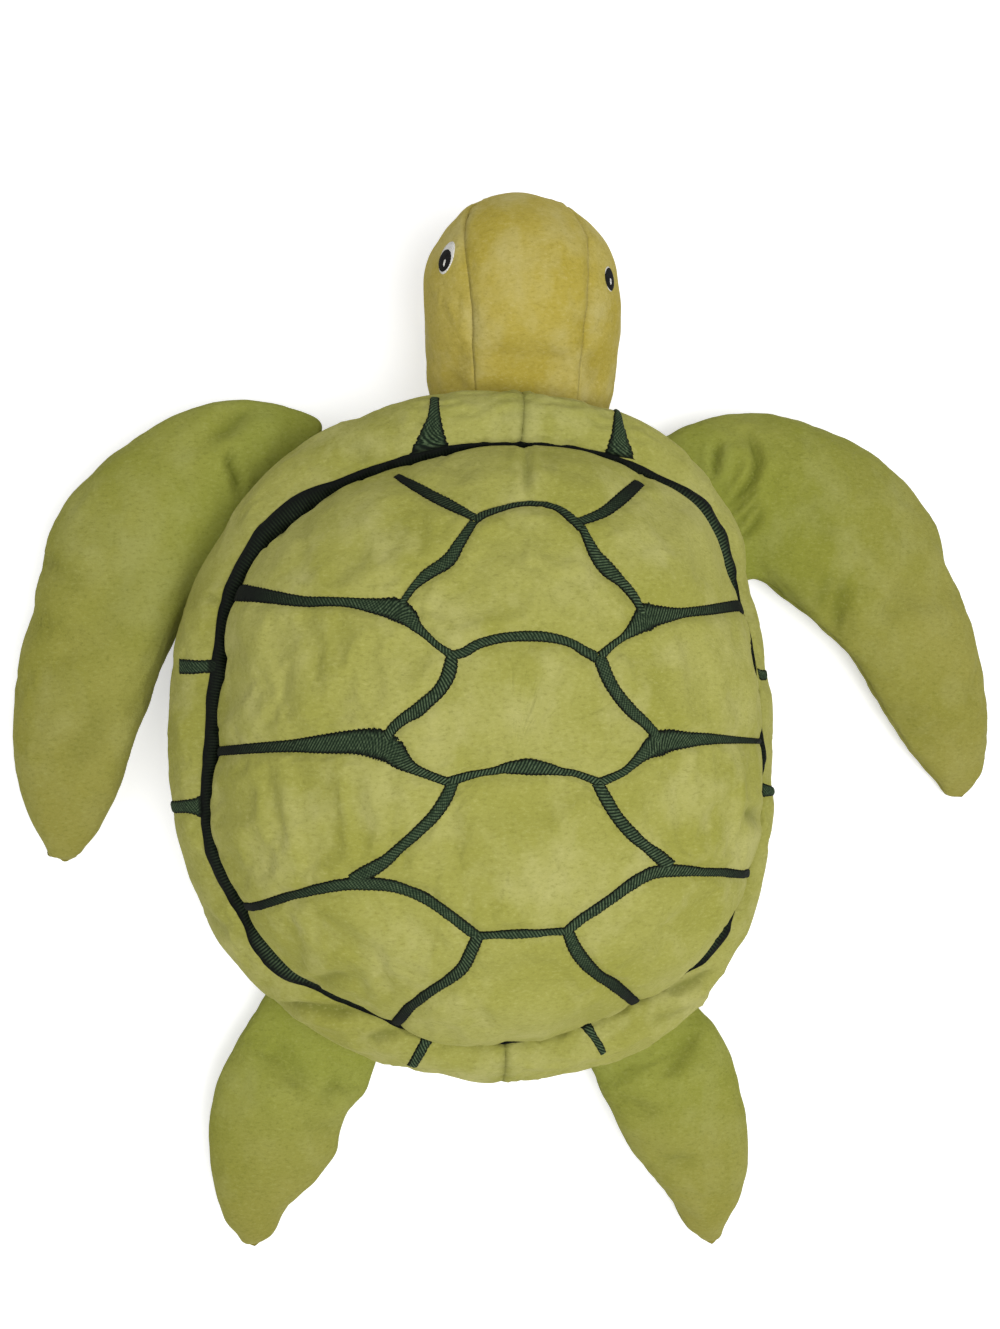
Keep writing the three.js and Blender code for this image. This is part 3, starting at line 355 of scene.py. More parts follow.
def lift(azimuth):
    """How far the shell's front is arched up over the neck."""
    away = np.abs(wrapped(azimuth - NECK_AZIMUTH))
    return np.where(away > ARCH_HALF_ANGLE, 0, FRONT_LIFT * np.cos(away / ARCH_HALF_ANGLE * math.pi / 2) ** 2)


def polar(azimuth, radius, height):
    return np.stack([radius * np.cos(azimuth), radius * np.sin(azimuth), height], -1)


# The dome is read by azimuth and by the share of the way from its top to the groove, which is
# measured on a dome of mean radius and height
DOME_MEAN_SIZE = [112, 50]
_fine = np.linspace(0, len(DOME_ROWS) - 1, 901)
_profile = catmull(DOME_ROWS, _fine)
_way = run_along(_profile * DOME_MEAN_SIZE)
DOME_WAY = _way[-1]
_way = _way / DOME_WAY
_widest = int(np.argmax(_profile[:, 0]))


def dome_base(azimuth, way):
    """Points of the dome before it is quilted."""
    out, rise = np.moveaxis(catmull(DOME_ROWS, np.interp(way, _way, _fine)), -1, 0)
    foot = GROOVE_HEIGHT + lift(azimuth) * RIM_ROWS[0][2]
    return polar(azimuth, dome_radius(azimuth) * out, foot + (SHELL_HEIGHT - foot) * rise)


def rim_base(azimuth, row):
    """Points of the rim, by the rows of its profile."""
    out, rise, raised = np.moveaxis(catmull(RIM_ROWS, row), -1, 0)
    inner = dome_radius(azimuth)
    return polar(azimuth, inner + (shell_radius(azimuth) - inner) * out, GROOVE_HEIGHT * rise + lift(azimuth) * raised)


def belly_base(azimuth, row):
    """Points of the belly, by the rows of its profile."""
    out, rise, raised = np.moveaxis(catmull(BELLY_ROWS, row), -1, 0)
    inner = dome_radius(azimuth)
    seam = inner + (shell_radius(azimuth) - inner) * RIM_ROWS[-1][0]
    return polar(azimuth, seam * out, np.maximum(GROOVE_HEIGHT * rise, 0) + lift(azimuth) * raised)


# The head and the flippers start with a rounded root, whose rows come before the others
NECK_LAST_ROW, KNUCKLE_LAST_ROW = 6, 3
HEAD_LAST_ROW = NECK_LAST_ROW + len(HEAD_ROWS)


def head_base(turn, row):
    """Rings about the head: turn 0 is the top, and a positive turn goes to the left side."""
    table = []
    for angle in np.linspace(0, math.pi / 2, NECK_LAST_ROW + 1):
        table.append([-NECK_RADIUS * math.cos(angle), NECK_HALF_WIDTH * math.sin(angle),
                      NECK_RADIUS * math.sin(angle), NECK_HEIGHT])
    for ahead, wide, tall, high in HEAD_ROWS:
        table.append([HEAD_LENGTH * ahead, HEAD_HALF_WIDTH * wide, HEAD_HALF_HEIGHT * tall, HEAD_HEIGHT * high])
    ahead, wide, tall, high = np.moveaxis(catmull(table, row), -1, 0)
    wide, tall = np.maximum(wide, 0), np.maximum(tall, 0)
    x = NECK_SIDE + HEAD_LEAN * np.maximum(ahead, 0) / HEAD_LENGTH + wide * np.sin(turn)
    return np.stack([x, NECK_BACK - ahead, high + tall * np.cos(turn)], -1)


# Seams of the crown, in degrees from the top, at rows of the head
HEAD_SEAM_ROWS = (6, 9, 11, 13, 15, 16)
HEAD_LEFT_SEAM = (36, 38, 42, 51, 60, 62)
HEAD_RIGHT_SEAM = (30, 30, 32, 40, 52, 56)


def flipper_table(f):
    """Rows of leading point, trailing point, half thickness and centre height."""
    out = np.array([math.cos(math.radians(f["angle"])), math.sin(math.radians(f["angle"]))])
    along = np.array([-out[1], out[0]])
    hinge = np.array(f["hinge"][:2], float)
    table = []
    for angle in np.linspace(0, math.pi / 2, KNUCKLE_LAST_ROW + 1):
        middle = hinge - out * f["knuckle"] * math.cos(angle)
        half = along * f["root"] * math.sin(angle)
        table.append([*(middle - half), *(middle + half), f["knuckle"] * math.sin(angle), f["hinge"][2]])
    turn = math.radians(f["turn"])
    spin = np.array([[math.cos(turn), -math.sin(turn)], [math.sin(turn), math.cos(turn)]])
    for k, (lead_out, lead_back, trail_out, trail_back, thick) in enumerate(f["ribs"]):
        lead = hinge + spin @ np.array([lead_out, lead_back]) * f["reach"]
        trail = hinge + spin @ np.array([trail_out, trail_back]) * f["reach"]
        half = f["half_thickness"] * thick
        tip = np.allclose(lead, trail)
        if tip:
            last = (np.array(table[-1][:2]) + table[-1][2:4]) / 2
            lead = trail = lead + unit(lead - last) * f["tip_trim"]
            half_width, before = np.array(table[-1][:2]) - last, table[-1][4]
            for way, share in TIP_ROWS:
                centre, wide, thin = last + way * (lead - last), share * half_width, share * before
                table.append([*(centre + wide), *(centre - wide), thin, FLOOR_GAP + thin])
        else:
            across = unit(lead - trail)
            lead, trail = lead + across * f["lead_trim"][k], trail - across * f["trail_trim"][k]
        table.append([*lead, *trail, 0 if tip else half, FLOOR_GAP + half])
    return np.array(table)


def flipper_base(f, turn, row):
    """Rings about a flipper: turn 0 is the leading edge, a quarter turn the top."""
    x0, y0, x1, y1, thick, high = np.moveaxis(catmull(f["table"], row), -1, 0)
    thick = np.maximum(thick, 0)
    c, s = np.cos(turn), np.sin(turn)
    x = (x0 + x1) / 2 + (x0 - x1) / 2 * c
    y = (y0 + y1) / 2 + (y0 - y1) / 2 * c
    fullness = 0.92 - 0.27 * np.exp(-(row / 4.5) ** 4)
    return np.stack([f["side"] * x, y, high + thick * np.sign(s) * np.abs(s) ** fullness], -1)


def on_grid(surface, across, down):
    """A surface's points at every pairing of places round it with places down it."""
    down, across = np.meshgrid(down, across, indexing="ij")
    return surface(across, down)


def limb_rows(root_last, root_count, last, count):
    """Rows of a limb's grid: some over its rounded root, the others along it."""
    return np.concatenate([np.linspace(0, root_last, root_count + 1)[:-1],
                           np.linspace(root_last, last, count - root_count)])


def is_pole(row):
    """Whether a row of a grid is one point."""
    return np.ptp(row, axis=0).max() < 0.02


def draw_in(points, *rows):
    """Draws rows of a grid in to one point each."""
    for row in rows:
        points[row] = points[row].mean(0)


def normals_of(along, across):
    """Normals from the steps along and across a surface, upright where it has none."""
    normal = np.cross(along, across)
    size = np.linalg.norm(normal, axis=-1, keepdims=True)
    return np.where(size > 1e-9, normal / np.maximum(size, 1e-12), [0, 0, 1])


def grid_normals(points, flip=1):
    """Normals of a grid that wraps."""
    across = np.roll(points, -1, 1) - np.roll(points, 1, 1)
    normal = normals_of(np.gradient(points, axis=0), across * flip)
    for end, near in ((0, 1), (-1, -2)):
        if is_pole(points[end]):
            normal[end] = unit(normal[near].mean(0))
    return normal


def numbered(rows, columns, first=0):
    return first + np.arange(rows * columns).reshape(rows, columns)


def grid_quads(number, wraps=True):
    """Faces between the neighbours in a grid of point numbers."""
    left, right = (number, np.roll(number, -1, 1)) if wraps else (number[:, :-1], number[:, 1:])
    return np.stack([left[:-1], left[1:], right[1:], right[:-1]], -1).reshape(-1, 4)


def wall(line, on):
    """Faces between a line of point numbers and the numbers that come so far on."""
    return np.stack([line[1:], line[:-1], line[:-1] + on, line[1:] + on], 1)


def make_mesh(name, points, faces, **attributes):
    """An object from points in millimetres, with values that its look reads."""
    mesh = bpy.data.meshes.new(name)
    points = np.asarray(points, float) * MM
    mesh.from_pydata(points.tolist(), [], faces.tolist())
    rest = mesh.attributes.new("rest", "FLOAT_VECTOR", "POINT")
    rest.data.foreach_set("vector", points.astype(np.float32).ravel())
    for key, values in attributes.items():
        mesh.attributes.new(key, "FLOAT", "POINT").data.foreach_set("value", np.asarray(values, np.float32).ravel())
    mesh.shade_smooth()
    obj = bpy.data.objects.new(name, mesh)
    bpy.context.scene.collection.objects.link(obj)
    return obj


def weld(obj):
    """Joins points that lie on each other, as at the pole of a grid, and drops faces that vanish."""
    bm = bmesh.new()
    bm.from_mesh(obj.data)
    bmesh.ops.remove_doubles(bm, verts=bm.verts, dist=2e-6)
    bmesh.ops.dissolve_degenerate(bm, edges=bm.edges, dist=1e-7)
    bm.to_mesh(obj.data)
    bm.free()
    return obj


def cloth(name, outer, normals, wraps, flip, thickness=CLOTH, **attributes):
    """A closed panel: a grid of points, the same grid set back by the cloth, and walls between."""
    inner = outer - normals * thickness
    number = numbered(*outer.shape[:2])
    quads = grid_quads(number, wraps)
    closed = np.append(number, number[:, :1], 1) if wraps else number
    edges = [line for end, line in ((outer[0], closed[0, ::-1]), (outer[-1], closed[-1])) if not is_pole(end)]
    if not wraps:
        edges += [number[:, 0], number[::-1, -1]]
    faces = np.concatenate([quads, quads[:, ::-1] + number.size, *(wall(line, number.size) for line in edges)])
    if flip < 0:
        faces = faces[:, ::-1]
    twice = {key: np.tile(values.ravel(), 2) for key, values in attributes.items()}
    return weld(make_mesh(name, np.concatenate([outer.reshape(-1, 3), inner.reshape(-1, 3)]), faces, **twice))


def body(name, points, flip, **attributes):
    """A closed body: a wrapping grid whose first and last rows are points."""
    quads = grid_quads(numbered(*points.shape[:2]))
    if flip < 0:
        quads = quads[:, ::-1]
    return weld(make_mesh(name, points.reshape(-1, 3), quads, **attributes))


def grid_tree(points):
    """A grid that wraps, for casting rays at."""
    quads = grid_quads(numbered(*points.shape[:2]))
    return BVHTree.FromPolygons(points.reshape(-1, 3).tolist(), quads.tolist())


def cast(tree, px, py):
    """The point of a surface that a pixel of the photograph shows."""
    way = (IMAGE_RIGHT * (px - PHOTO_WIDTH / 2) + IMAGE_UP * (PHOTO_HEIGHT / 2 - py)) / FOCAL_PIXELS - BACK
    hit = tree.ray_cast(Vector(EYE_POINT), Vector(way).normalized())[0]
    if hit is None:
        found = (tree.find_nearest(Vector(EYE_POINT + way * far)) for far in range(DISTANCE - 90, DISTANCE + 40))
        hit = min(found, key=lambda nearest: nearest[3])[0]
    return np.array(hit)


# Points along each fold from which distances are taken
FOLD_STEPS = 40


def crease_paths(tree, listed):
    """Folds drawn in the photograph, laid on a surface, each with its depth and half width."""
    paths = []
    for pixels, depth, width in listed:
        spots = np.array([cast(tree, px, py) for px, py in pixels])
        paths.append((catmull(spots, np.linspace(0, len(spots) - 1, FOLD_STEPS)), depth, width))
    return paths


def creased(points, paths):
    """Depth of the folds at each point, and how far painted shade darkens it."""
    flat = points.reshape(-1, 3)
    push = np.zeros(len(flat))
    fold = np.zeros(len(flat))
    steps = np.arange(FOLD_STEPS)
    to_end = np.minimum(steps, steps[::-1])
    for path, depth, width in paths:
        room = 4 * width
        near = np.where(np.all((flat > path.min(0) - room) & (flat < path.max(0) + room), axis=1))[0]
        if not len(near):
            continue
        away = np.linalg.norm(flat[near, None] - path[None], axis=2)
        taper = np.clip((to_end[away.argmin(1)] + 3) / 12, 0, 1)
        d = away.min(1) / width
        # A valley with a low swell on either side
        push[near] += taper * depth * (-1.15 * np.exp(-(d / 0.8) ** 2) + 0.5 * np.exp(-((d - 1.7) / 0.9) ** 2))
        # Painted shade in the valley of a sharp crease; wide, soft folds get little of it
        dark = min(max(depth / 2, 0), 1) * min(3.4 / width, 1)
        fold[near] = np.maximum(fold[near], taper * np.exp(-(d / 0.6) ** 2) * dark)
    return push.reshape(points.shape[:2]), fold.reshape(points.shape[:2])


def seamed(push, points, lines, depth, reach):
    """Draws cloth in to the seams along lines of its grid, and says how near them each point is."""
    near = np.zeros(points.shape[:2])
    for line in lines:
        away = np.linalg.norm(points - line, axis=2)
        push = push - depth * np.exp(-(away / reach) ** 1.3)
        near = np.maximum(near, np.exp(-away / (2.4 * reach)))
    return push, near


def puckers(points, near, size, depth, seed):
    """Small gathers that cross a seam and die out away from it."""
    return depth * near ** 1.5 * lumps(points, size, seed)


def smoothed(grid, across_rows, across_columns):
    """A wrapping grid of values blurred over so many rows and columns."""
    for axis, size, mode in ((0, across_rows, "edge"), (1, across_columns, "wrap")):
        reach = int(3 * size)
        room = [(0, 0), (0, 0)]
        room[axis] = (reach, reach)
        kernel = bell(reach, math.sqrt(2) * size)
        grid = np.apply_along_axis(np.convolve, axis, np.pad(grid, room, mode=mode), kernel, "valid")
    return grid


# Moments of the cloth simulation
CLOTH_FRAMES = 8


def wrinkles(points, normals, side, pinned, drawn, pressure, most, shrink, blur, stride=1):
    """Heights that cloth takes along its normals when it is blown up while its seams are drawn in.
    pinned says where it is held and drawn where it shrinks. Only the fine folds are kept, since
    the grid already has the shape, and none is higher than most."""
    points, normals = points[::stride, ::stride], normals[::stride, ::stride]
    rows, columns = points.shape[:2]
    blur = [size / stride for size in blur]
    number = numbered(rows, columns)
    for end in (0, -1):
        if is_pole(points[end]):
            number[end] = number[end, 0]
    used, place = np.unique(number, return_inverse=True)
    number = place.reshape(rows, columns)
    faces = [list(dict.fromkeys(quad)) for quad in grid_quads(number)[:, ::side].tolist()]
    mesh = bpy.data.meshes.new("blown_up")
    start = points.reshape(-1, 3)[used]
    mesh.from_pydata((start * MM).tolist(), [], faces)
    obj = bpy.data.objects.new("blown_up", mesh)
    bpy.context.scene.collection.objects.link(obj)
    for key, grid in (("pinned", pinned), ("drawn", drawn)):
        group = obj.vertex_groups.new(name=key)
        weights = grid[::stride, ::stride].reshape(-1)[used]
        for k in np.nonzero(weights > 0.01)[0]:
            group.add([int(k)], float(weights[k]), "REPLACE")
    cloth_modifier = obj.modifiers.new("cloth", "CLOTH")
    settings = cloth_modifier.settings
    settings.quality, settings.mass, settings.air_damping = 5, 0.3, 5
    settings.tension_stiffness = settings.compression_stiffness = 60
    settings.shear_stiffness, settings.bending_stiffness = 20, 0.05
    settings.use_pressure, settings.uniform_pressure_force = True, pressure
    settings.vertex_group_mass, settings.vertex_group_shrink = "pinned", "drawn"
    settings.shrink_min, settings.shrink_max = shrink
    settings.effector_weights.gravity = 0
    cloth_modifier.point_cache.frame_start, cloth_modifier.point_cache.frame_end = 1, CLOTH_FRAMES
    for moment in range(1, CLOTH_FRAMES + 1):
        bpy.context.scene.frame_set(moment)
    shape = obj.evaluated_get(bpy.context.evaluated_depsgraph_get()).to_mesh()
    moved = np.empty(3 * len(used))
    shape.vertices.foreach_get("co", moved)
    bpy.data.objects.remove(obj)
    bpy.data.meshes.remove(mesh)
    bpy.context.scene.frame_set(1)
    along = ((moved.reshape(-1, 3) / MM - start)[number] * normals).sum(-1)
    fine = np.clip(along - smoothed(along, *blur), -most, most)
    if stride > 1:
        at = np.arange(pinned.shape[0]) / stride
        fine = np.stack([np.interp(at, np.arange(rows), column) for column in fine.T], 1)
        around = np.concatenate([fine, fine[:, :1]], 1)
        at = np.arange(pinned.shape[1]) / stride
        fine = np.stack([np.interp(at, np.arange(columns + 1), line) for line in around])
    return fine


# Limbs first, because the shell's cloth lies close round their roots
HEAD_COLUMNS, HEAD_GRID_ROWS, NECK_GRID_ROWS = 192, 120, 21
head_turns = np.arange(HEAD_COLUMNS) / HEAD_COLUMNS * TAU
head_rows = limb_rows(NECK_LAST_ROW, NECK_GRID_ROWS, HEAD_LAST_ROW, HEAD_GRID_ROWS)
# The crown is a twelfth of the way round to either side, and the third seam runs below
CROWN = HEAD_COLUMNS // 12
HEAD_SEAMS = [CROWN, HEAD_COLUMNS - CROWN, HEAD_COLUMNS // 2]


def seam_turns(row):
    """Turns of the head's columns, with the crown's seams where they lie along a row."""
    even = np.where(head_turns > math.pi, head_turns - TAU, head_turns)
    crown = TAU * CROWN / HEAD_COLUMNS
    left, right = (np.interp(row, HEAD_SEAM_ROWS, angles) for angles in (HEAD_LEFT_SEAM, HEAD_RIGHT_SEAM))
    seams = np.radians(np.where(even > 0, left, right))
    away = np.abs(even)
    past = seams + (away - crown) * (math.pi - seams) / (math.pi - crown)
    return np.sign(even) * np.where(away <= crown, away * seams / crown, past)


head_turn_grid = np.stack([seam_turns(row) for row in head_rows])
head_points = head_base(head_turn_grid, head_rows[:, None] + 0 * head_turn_grid)
head_normals = grid_normals(head_points)
head_push, head_fold = creased(head_points, crease_paths(grid_tree(head_points), CREASES["head"]))
head_push += 0.7 * lumps(head_points, 34, seed=3) + 0.25 * lumps(head_points, 12, seed=4)
head_push, head_seams = seamed(head_push, head_points, [head_points[:, [k]] for k in HEAD_SEAMS], depth=0.5, reach=1.8)
head_push += puckers(head_points, head_seams, size=7, depth=0.35, seed=5)
held = np.clip((26 - np.arange(HEAD_GRID_ROWS)) / 8, 0, 1)[:, None] + 0 * head_push
drawn = np.zeros(head_push.shape)
drawn[:, HEAD_SEAMS] = 1
head_push += wrinkles(head_points, head_normals, 1, held, drawn, pressure=0.5, most=0.8, shrink=(0, 0.03), blur=(9, 3))
head_skin = head_points + head_normals * head_push[..., None]
draw_in(head_skin, 0, -1)
head_skin_normals = grid_normals(head_skin)

FLIPPER_COLUMNS, FLIPPER_GRID_ROWS, KNUCKLE_GRID_ROWS = 120, 150, 12
HALF_ROUND = FLIPPER_COLUMNS // 2
flipper_turns = np.arange(FLIPPER_COLUMNS) / FLIPPER_COLUMNS * TAU
# How far a column faces its flipper's edges, and its upper and lower sides
edgeways, flatways = np.abs(np.cos(flipper_turns)), np.abs(np.sin(flipper_turns))
for number, (name, f) in enumerate(FLIPPERS.items()):
    f["table"] = flipper_table(f)
    f["last"] = len(f["table"]) - 1
    rows = limb_rows(KNUCKLE_LAST_ROW, KNUCKLE_GRID_ROWS, f["last"], FLIPPER_GRID_ROWS)
    past_root = np.maximum(rows - KNUCKLE_LAST_ROW, 0)
    points = on_grid(partial(flipper_base, f), flipper_turns, rows)
    normals = grid_normals(points, f["side"])
    push, fold = creased(points, crease_paths(grid_tree(points), CREASES[name]))
    upper = np.clip(normals[..., 2] * 3 + 0.6, 0, 1)
    push, fold = push * upper, fold * upper
    push += 0.9 * lumps(points, 46, seed=20 + number) + 0.35 * lumps(points, 15, seed=30 + number)
    # Narrower at the edges, but not at the root and the tip
    along = np.clip(past_root / 2, 0, 1) * np.clip((f["last"] - rows) / 2, 0, 1)
    push -= 1.5 * edgeways ** 3 * along[:, None]
    if name == "front_left":
        corner = np.exp(-((rows - 3.6) / 1.1) ** 2)[:, None] * np.exp(-(wrapped(flipper_turns) / 0.9) ** 2)
        points = points + corner[..., None] * SHOULDER
    push, near = seamed(push, points, [points[:, [0]], points[:, [HALF_ROUND]]], depth=1, reach=1.7)
    push += puckers(points, near, size=9, depth=0.3, seed=40 + number)
    gathers = np.exp(-past_root / 1.5)[:, None] * flatways
    push += 0.55 * gathers * lumps(points * [1, 1, 0], 11, seed=50 + number)
    held = np.clip((30 - np.arange(FLIPPER_GRID_ROWS)) / 16, 0, 1)[:, None] + 0 * push
    drawn = np.zeros(push.shape)
    for column in (0, HALF_ROUND):
        drawn[:, [column - 1, column + 1]] = 0.5
        drawn[:, column] = 1
    # The tip is narrow, so the cloth moves less the nearer it is
    to_tip = np.linalg.norm(points - points[-1].mean(0), axis=-1)
    push *= np.clip(to_tip / 12, 0, 1) ** 0.8
    blown = points + normals * push[..., None]
    draw_in(blown, 0, -1)
    fine = wrinkles(blown, normals, f["side"], held, drawn, pressure=0.7, most=1.4, shrink=(0, 0.045), blur=(9, 2.5))
    push += np.clip(to_tip / 30, 0, 1) ** 2 * flatways ** 0.7 * fine
    skin = points + normals * push[..., None]
    skin[..., 2] = np.maximum(skin[..., 2], 0.6)
    draw_in(skin, 0, -1)
    f["skin"], f["fold"], f["rows"] = skin, fold, rows
    f["thickness"] = np.minimum(CLOTH, 0.11 * to_tip)[..., None]
    f["skin_normals"] = grid_normals(skin, f["side"])
head_skin_tree = grid_tree(head_skin)
LIMB_TREES = [head_skin_tree, *(grid_tree(f["skin"]) for f in FLIPPERS.values())]


def clear_of_limbs(points, side, gap):
    """Moves a sheet up, where side is 1, or down, to clear the limbs that pass through it by a gap."""
    flat = points.reshape(-1, 3).copy()
    for tree in LIMB_TREES:
        for p in flat:
            hit = tree.ray_cast(Vector((p[0], p[1], 200 * side)), Vector((0, 0, -side)))[0]
            if hit is not None and side * (p[2] - hit[2]) < gap:
                p[2] = max(hit[2] + side * gap, 0)
    return flat.reshape(points.shape)


# Dome: pillowed between its stitched lines. Its columns and the rim's are the same.
DOME_COLUMNS, DOME_GRID_ROWS = 272, 100
azimuths = np.concatenate([
    np.linspace(FRONT_AZIMUTH, REAR_AZIMUTH, DOME_COLUMNS, endpoint=False),
    np.linspace(REAR_AZIMUTH, FRONT_AZIMUTH + TAU, DOME_COLUMNS, endpoint=False),
])
dome_ways = np.linspace(0, 1, DOME_GRID_ROWS)
dome_plain_tree = grid_tree(on_grid(dome_base, azimuths, dome_ways))


def laid_out(azimuth, way):
    """A place on the dome as millimetres on a flat map."""
    return np.stack([np.cos(azimuth) * way, np.sin(azimuth) * way], -1) * DOME_WAY


def dome_place(point):
    """Where a point of the dome lies on the map."""
    azimuth = math.atan2(point[1], point[0])
    share = math.hypot(point[0], point[1]) / float(dome_radius(azimuth))
    return laid_out(azimuth, float(np.interp(share, _profile[:_widest, 0], _way[:_widest])))


def pixel_size(point):
    """Millimetres that a pixel spans at a point."""
    return float((EYE_POINT - point) @ BACK) / FOCAL_PIXELS


# A line that comes this far down the dome runs on to the groove
LINE_RUNS_OUT, LINE_END = 0.9, 0.97


def dome_line(pixels):
    """A scute line on the dome's map: places and widths."""
    rows = []
    for px, py, width in pixels:
        spot = cast(dome_plain_tree, px, py)
        rows.append([*dome_place(spot), width * pixel_size(spot)])
    ways = [math.hypot(x, y) / DOME_WAY for x, y, _ in rows]
    for end, near in ((0, 1), (-1, -2)):
        if ways[end] > LINE_RUNS_OUT:
            spot, before = np.array(rows[end]), np.array(rows[near])
            out = unit(spot[:2])
            heading = unit(out + unit((spot - before)[:2]))
            last = [*(spot[:2] + heading * (LINE_END - ways[end]) * DOME_WAY / (heading @ out)), spot[2] * 1.05]
            rows.insert(0 if end == 0 else len(rows), last)
    return np.array(rows)


scute_lines = [dome_line(pixels) for pixels in SCUTE_LINES]
samples = np.concatenate([catmull(line, np.linspace(0, len(line) - 1, 12 * len(line))) for line in scute_lines])
line_widths = samples[:, 2]
line_tree = KDTree(len(samples))
for number, (x, y, _) in enumerate(samples):
    line_tree.insert((x, y, 0), number)
line_tree.balance()


def line_distance(flat):
    """Distance to the edge of the nearest line, at places of the dome's map."""
    away = np.empty(flat[..., 0].size)
    for k, (x, y) in enumerate(flat.reshape(-1, 2)):
        _, index, distance = line_tree.find((x, y, 0))
        away[k] = max(distance - line_widths[index] * 0.35, 0)
    return away.reshape(flat.shape[:-1])


def looked_up(grid, azimuth, row):
    """Values of a grid round the shell, at azimuths and rows."""
    if grid is None:
        return 0
    azimuth, row = np.broadcast_arrays(azimuth, row)
    column = np.interp((azimuth - FRONT_AZIMUTH) % TAU + FRONT_AZIMUTH,
                       np.append(azimuths, FRONT_AZIMUTH + TAU), np.arange(len(azimuths) + 1))
    c, r = np.floor(column).astype(int), np.clip(np.floor(row).astype(int), 0, len(grid) - 2)
    u, v = column - c, row - r
    c, after = c % len(azimuths), (c + 1) % len(azimuths)
    return ((grid[r, c] * (1 - u) + grid[r, after] * u) * (1 - v)
            + (grid[r + 1, c] * (1 - u) + grid[r + 1, after] * u) * v)


def base_normals(base, azimuth, down, last):
    """Normals of a plain surface round the shell, whose places down it end at last."""
    step = 1e-3
    along = base(azimuth, np.minimum(down + step, last)) - base(azimuth, np.maximum(down - step, 0))
    return normals_of(along, base(azimuth + step, down) - base(azimuth - step, down))


dome_creases = crease_paths(dome_plain_tree, CREASES["dome"])
dome_wrinkles = None


def dome_skin_at(azimuth, way):
    """The dome's finished surface, at a grid of azimuths and ways down: points, normals, painted shade."""
    points = dome_base(azimuth, way)
    normal = base_normals(dome_base, azimuth, way, 1)
    crease, fold = creased(points, dome_creases)
    away = line_distance(laid_out(azimuth, way))
    foot = np.clip((way - 0.72) / 0.2, 0, 1)
    puff = 1.3 - (2.4 - 1.3 * foot) * np.exp(-away / 5)
    push = puff + crease + 0.5 * lumps(points, 38, seed=60) + 0.22 * lumps(points, 13, seed=61)
    groove = np.exp(-(1 - way) * DOME_WAY / 3.2)
    push = push - 1.1 * groove + puckers(points, groove, size=8, depth=0.6, seed=62)
    push = push + looked_up(dome_wrinkles, azimuth, way * (DOME_GRID_ROWS - 1))
    # Painted shade in the creases and along the groove
    return points + normal * push[..., None], normal, np.maximum(fold, 0.35 * groove)


# The cloth is held along its lines and at the groove, and blown up between them
dome_skin, dome_normals, _ = on_grid(dome_skin_at, azimuths, dome_ways)
draw_in(dome_skin, 0)
held = np.exp(-(line_distance(on_grid(laid_out, azimuths, dome_ways)) / 1.2) ** 2)
held[-3:] = 1
dome_wrinkles = wrinkles(dome_skin, dome_normals, 1, held, 0 * held, pressure=0.5, most=1.1,
                         shrink=(-0.02, 0), blur=(8, 8), stride=2)
dome_skin, _, dome_fold = on_grid(dome_skin_at, azimuths, dome_ways)
draw_in(dome_skin, 0)

# Rim: two bands that meet at the front and rear seams
RIM_GRID_ROWS, RIM_LAST_ROW = 68, len(RIM_ROWS) - 1
# Radii at which distances round it are measured, for stitches and for its seams, and its mean
# width out from the groove
RIM_RADIUS, SEAM_RADIUS, RIM_WIDTH = 118, 120, 18
rim_rows = np.linspace(0, RIM_LAST_ROW, RIM_GRID_ROWS)
rim_plain_tree = grid_tree(on_grid(rim_base, azimuths, rim_rows))
rim_creases = crease_paths(rim_plain_tree, CREASES["rim"])
rim_wrinkles = None


def rim_skin_at(azimuth, row):
    """The rim's finished surface, at a grid of azimuths and rows: points, normals, painted shade."""
    points = rim_base(azimuth, row)
    normal = base_normals(rim_base, azimuth, row, RIM_LAST_ROW)
    crease, fold = creased(points, rim_creases)
    push = crease + 0.5 * lumps(points, 40, seed=70) + 0.2 * lumps(points, 14, seed=71)
    for row_end, depth in ((0, 0.9), (RIM_LAST_ROW, 1.4)):
        away = np.linalg.norm(points - rim_base(azimuth, row * 0 + row_end), axis=-1)
        push -= depth * np.exp(-(away / 2.2) ** 1.3)
        push += puckers(points, np.exp(-away / 5), size=9, depth=0.55, seed=72 + row_end)
        # Painted shade along the groove and along the belly seam
        fold = np.maximum(fold, 0.7 * np.exp(-away / 3.5))
    for end in (FRONT_AZIMUTH, REAR_AZIMUTH):
        away = np.abs(wrapped(azimuth - end)) * SEAM_RADIUS
        push -= 0.9 * np.exp(-(away / 1.7) ** 1.3)
        push += 0.35 * np.exp(-away / 6) * np.sin(row * 9)
        # Painted shade in the front and rear seams
        fold = np.maximum(fold, 0.55 * np.exp(-away / 2.2))
    push = push + looked_up(rim_wrinkles, azimuth, row * (RIM_GRID_ROWS - 1) / RIM_LAST_ROW)
    return points + normal * push[..., None], normal, fold


rim_skin, rim_normals, _ = on_grid(rim_skin_at, azimuths, rim_rows)
held = np.zeros(rim_skin.shape[:2])
held[:2] = held[-2:] = held[:, [0, DOME_COLUMNS]] = 1
rim_wrinkles = wrinkles(rim_skin, rim_normals, 1, held, 0 * held, pressure=0.5, most=0.65,
                        shrink=(-0.025, 0), blur=(4, 12), stride=2)
rim_skin, _, rim_fold = on_grid(rim_skin_at, azimuths, rim_rows)
under = rim_rows > 4
rim_skin[under] = clear_of_limbs(rim_skin[under], side=1, gap=0.7)

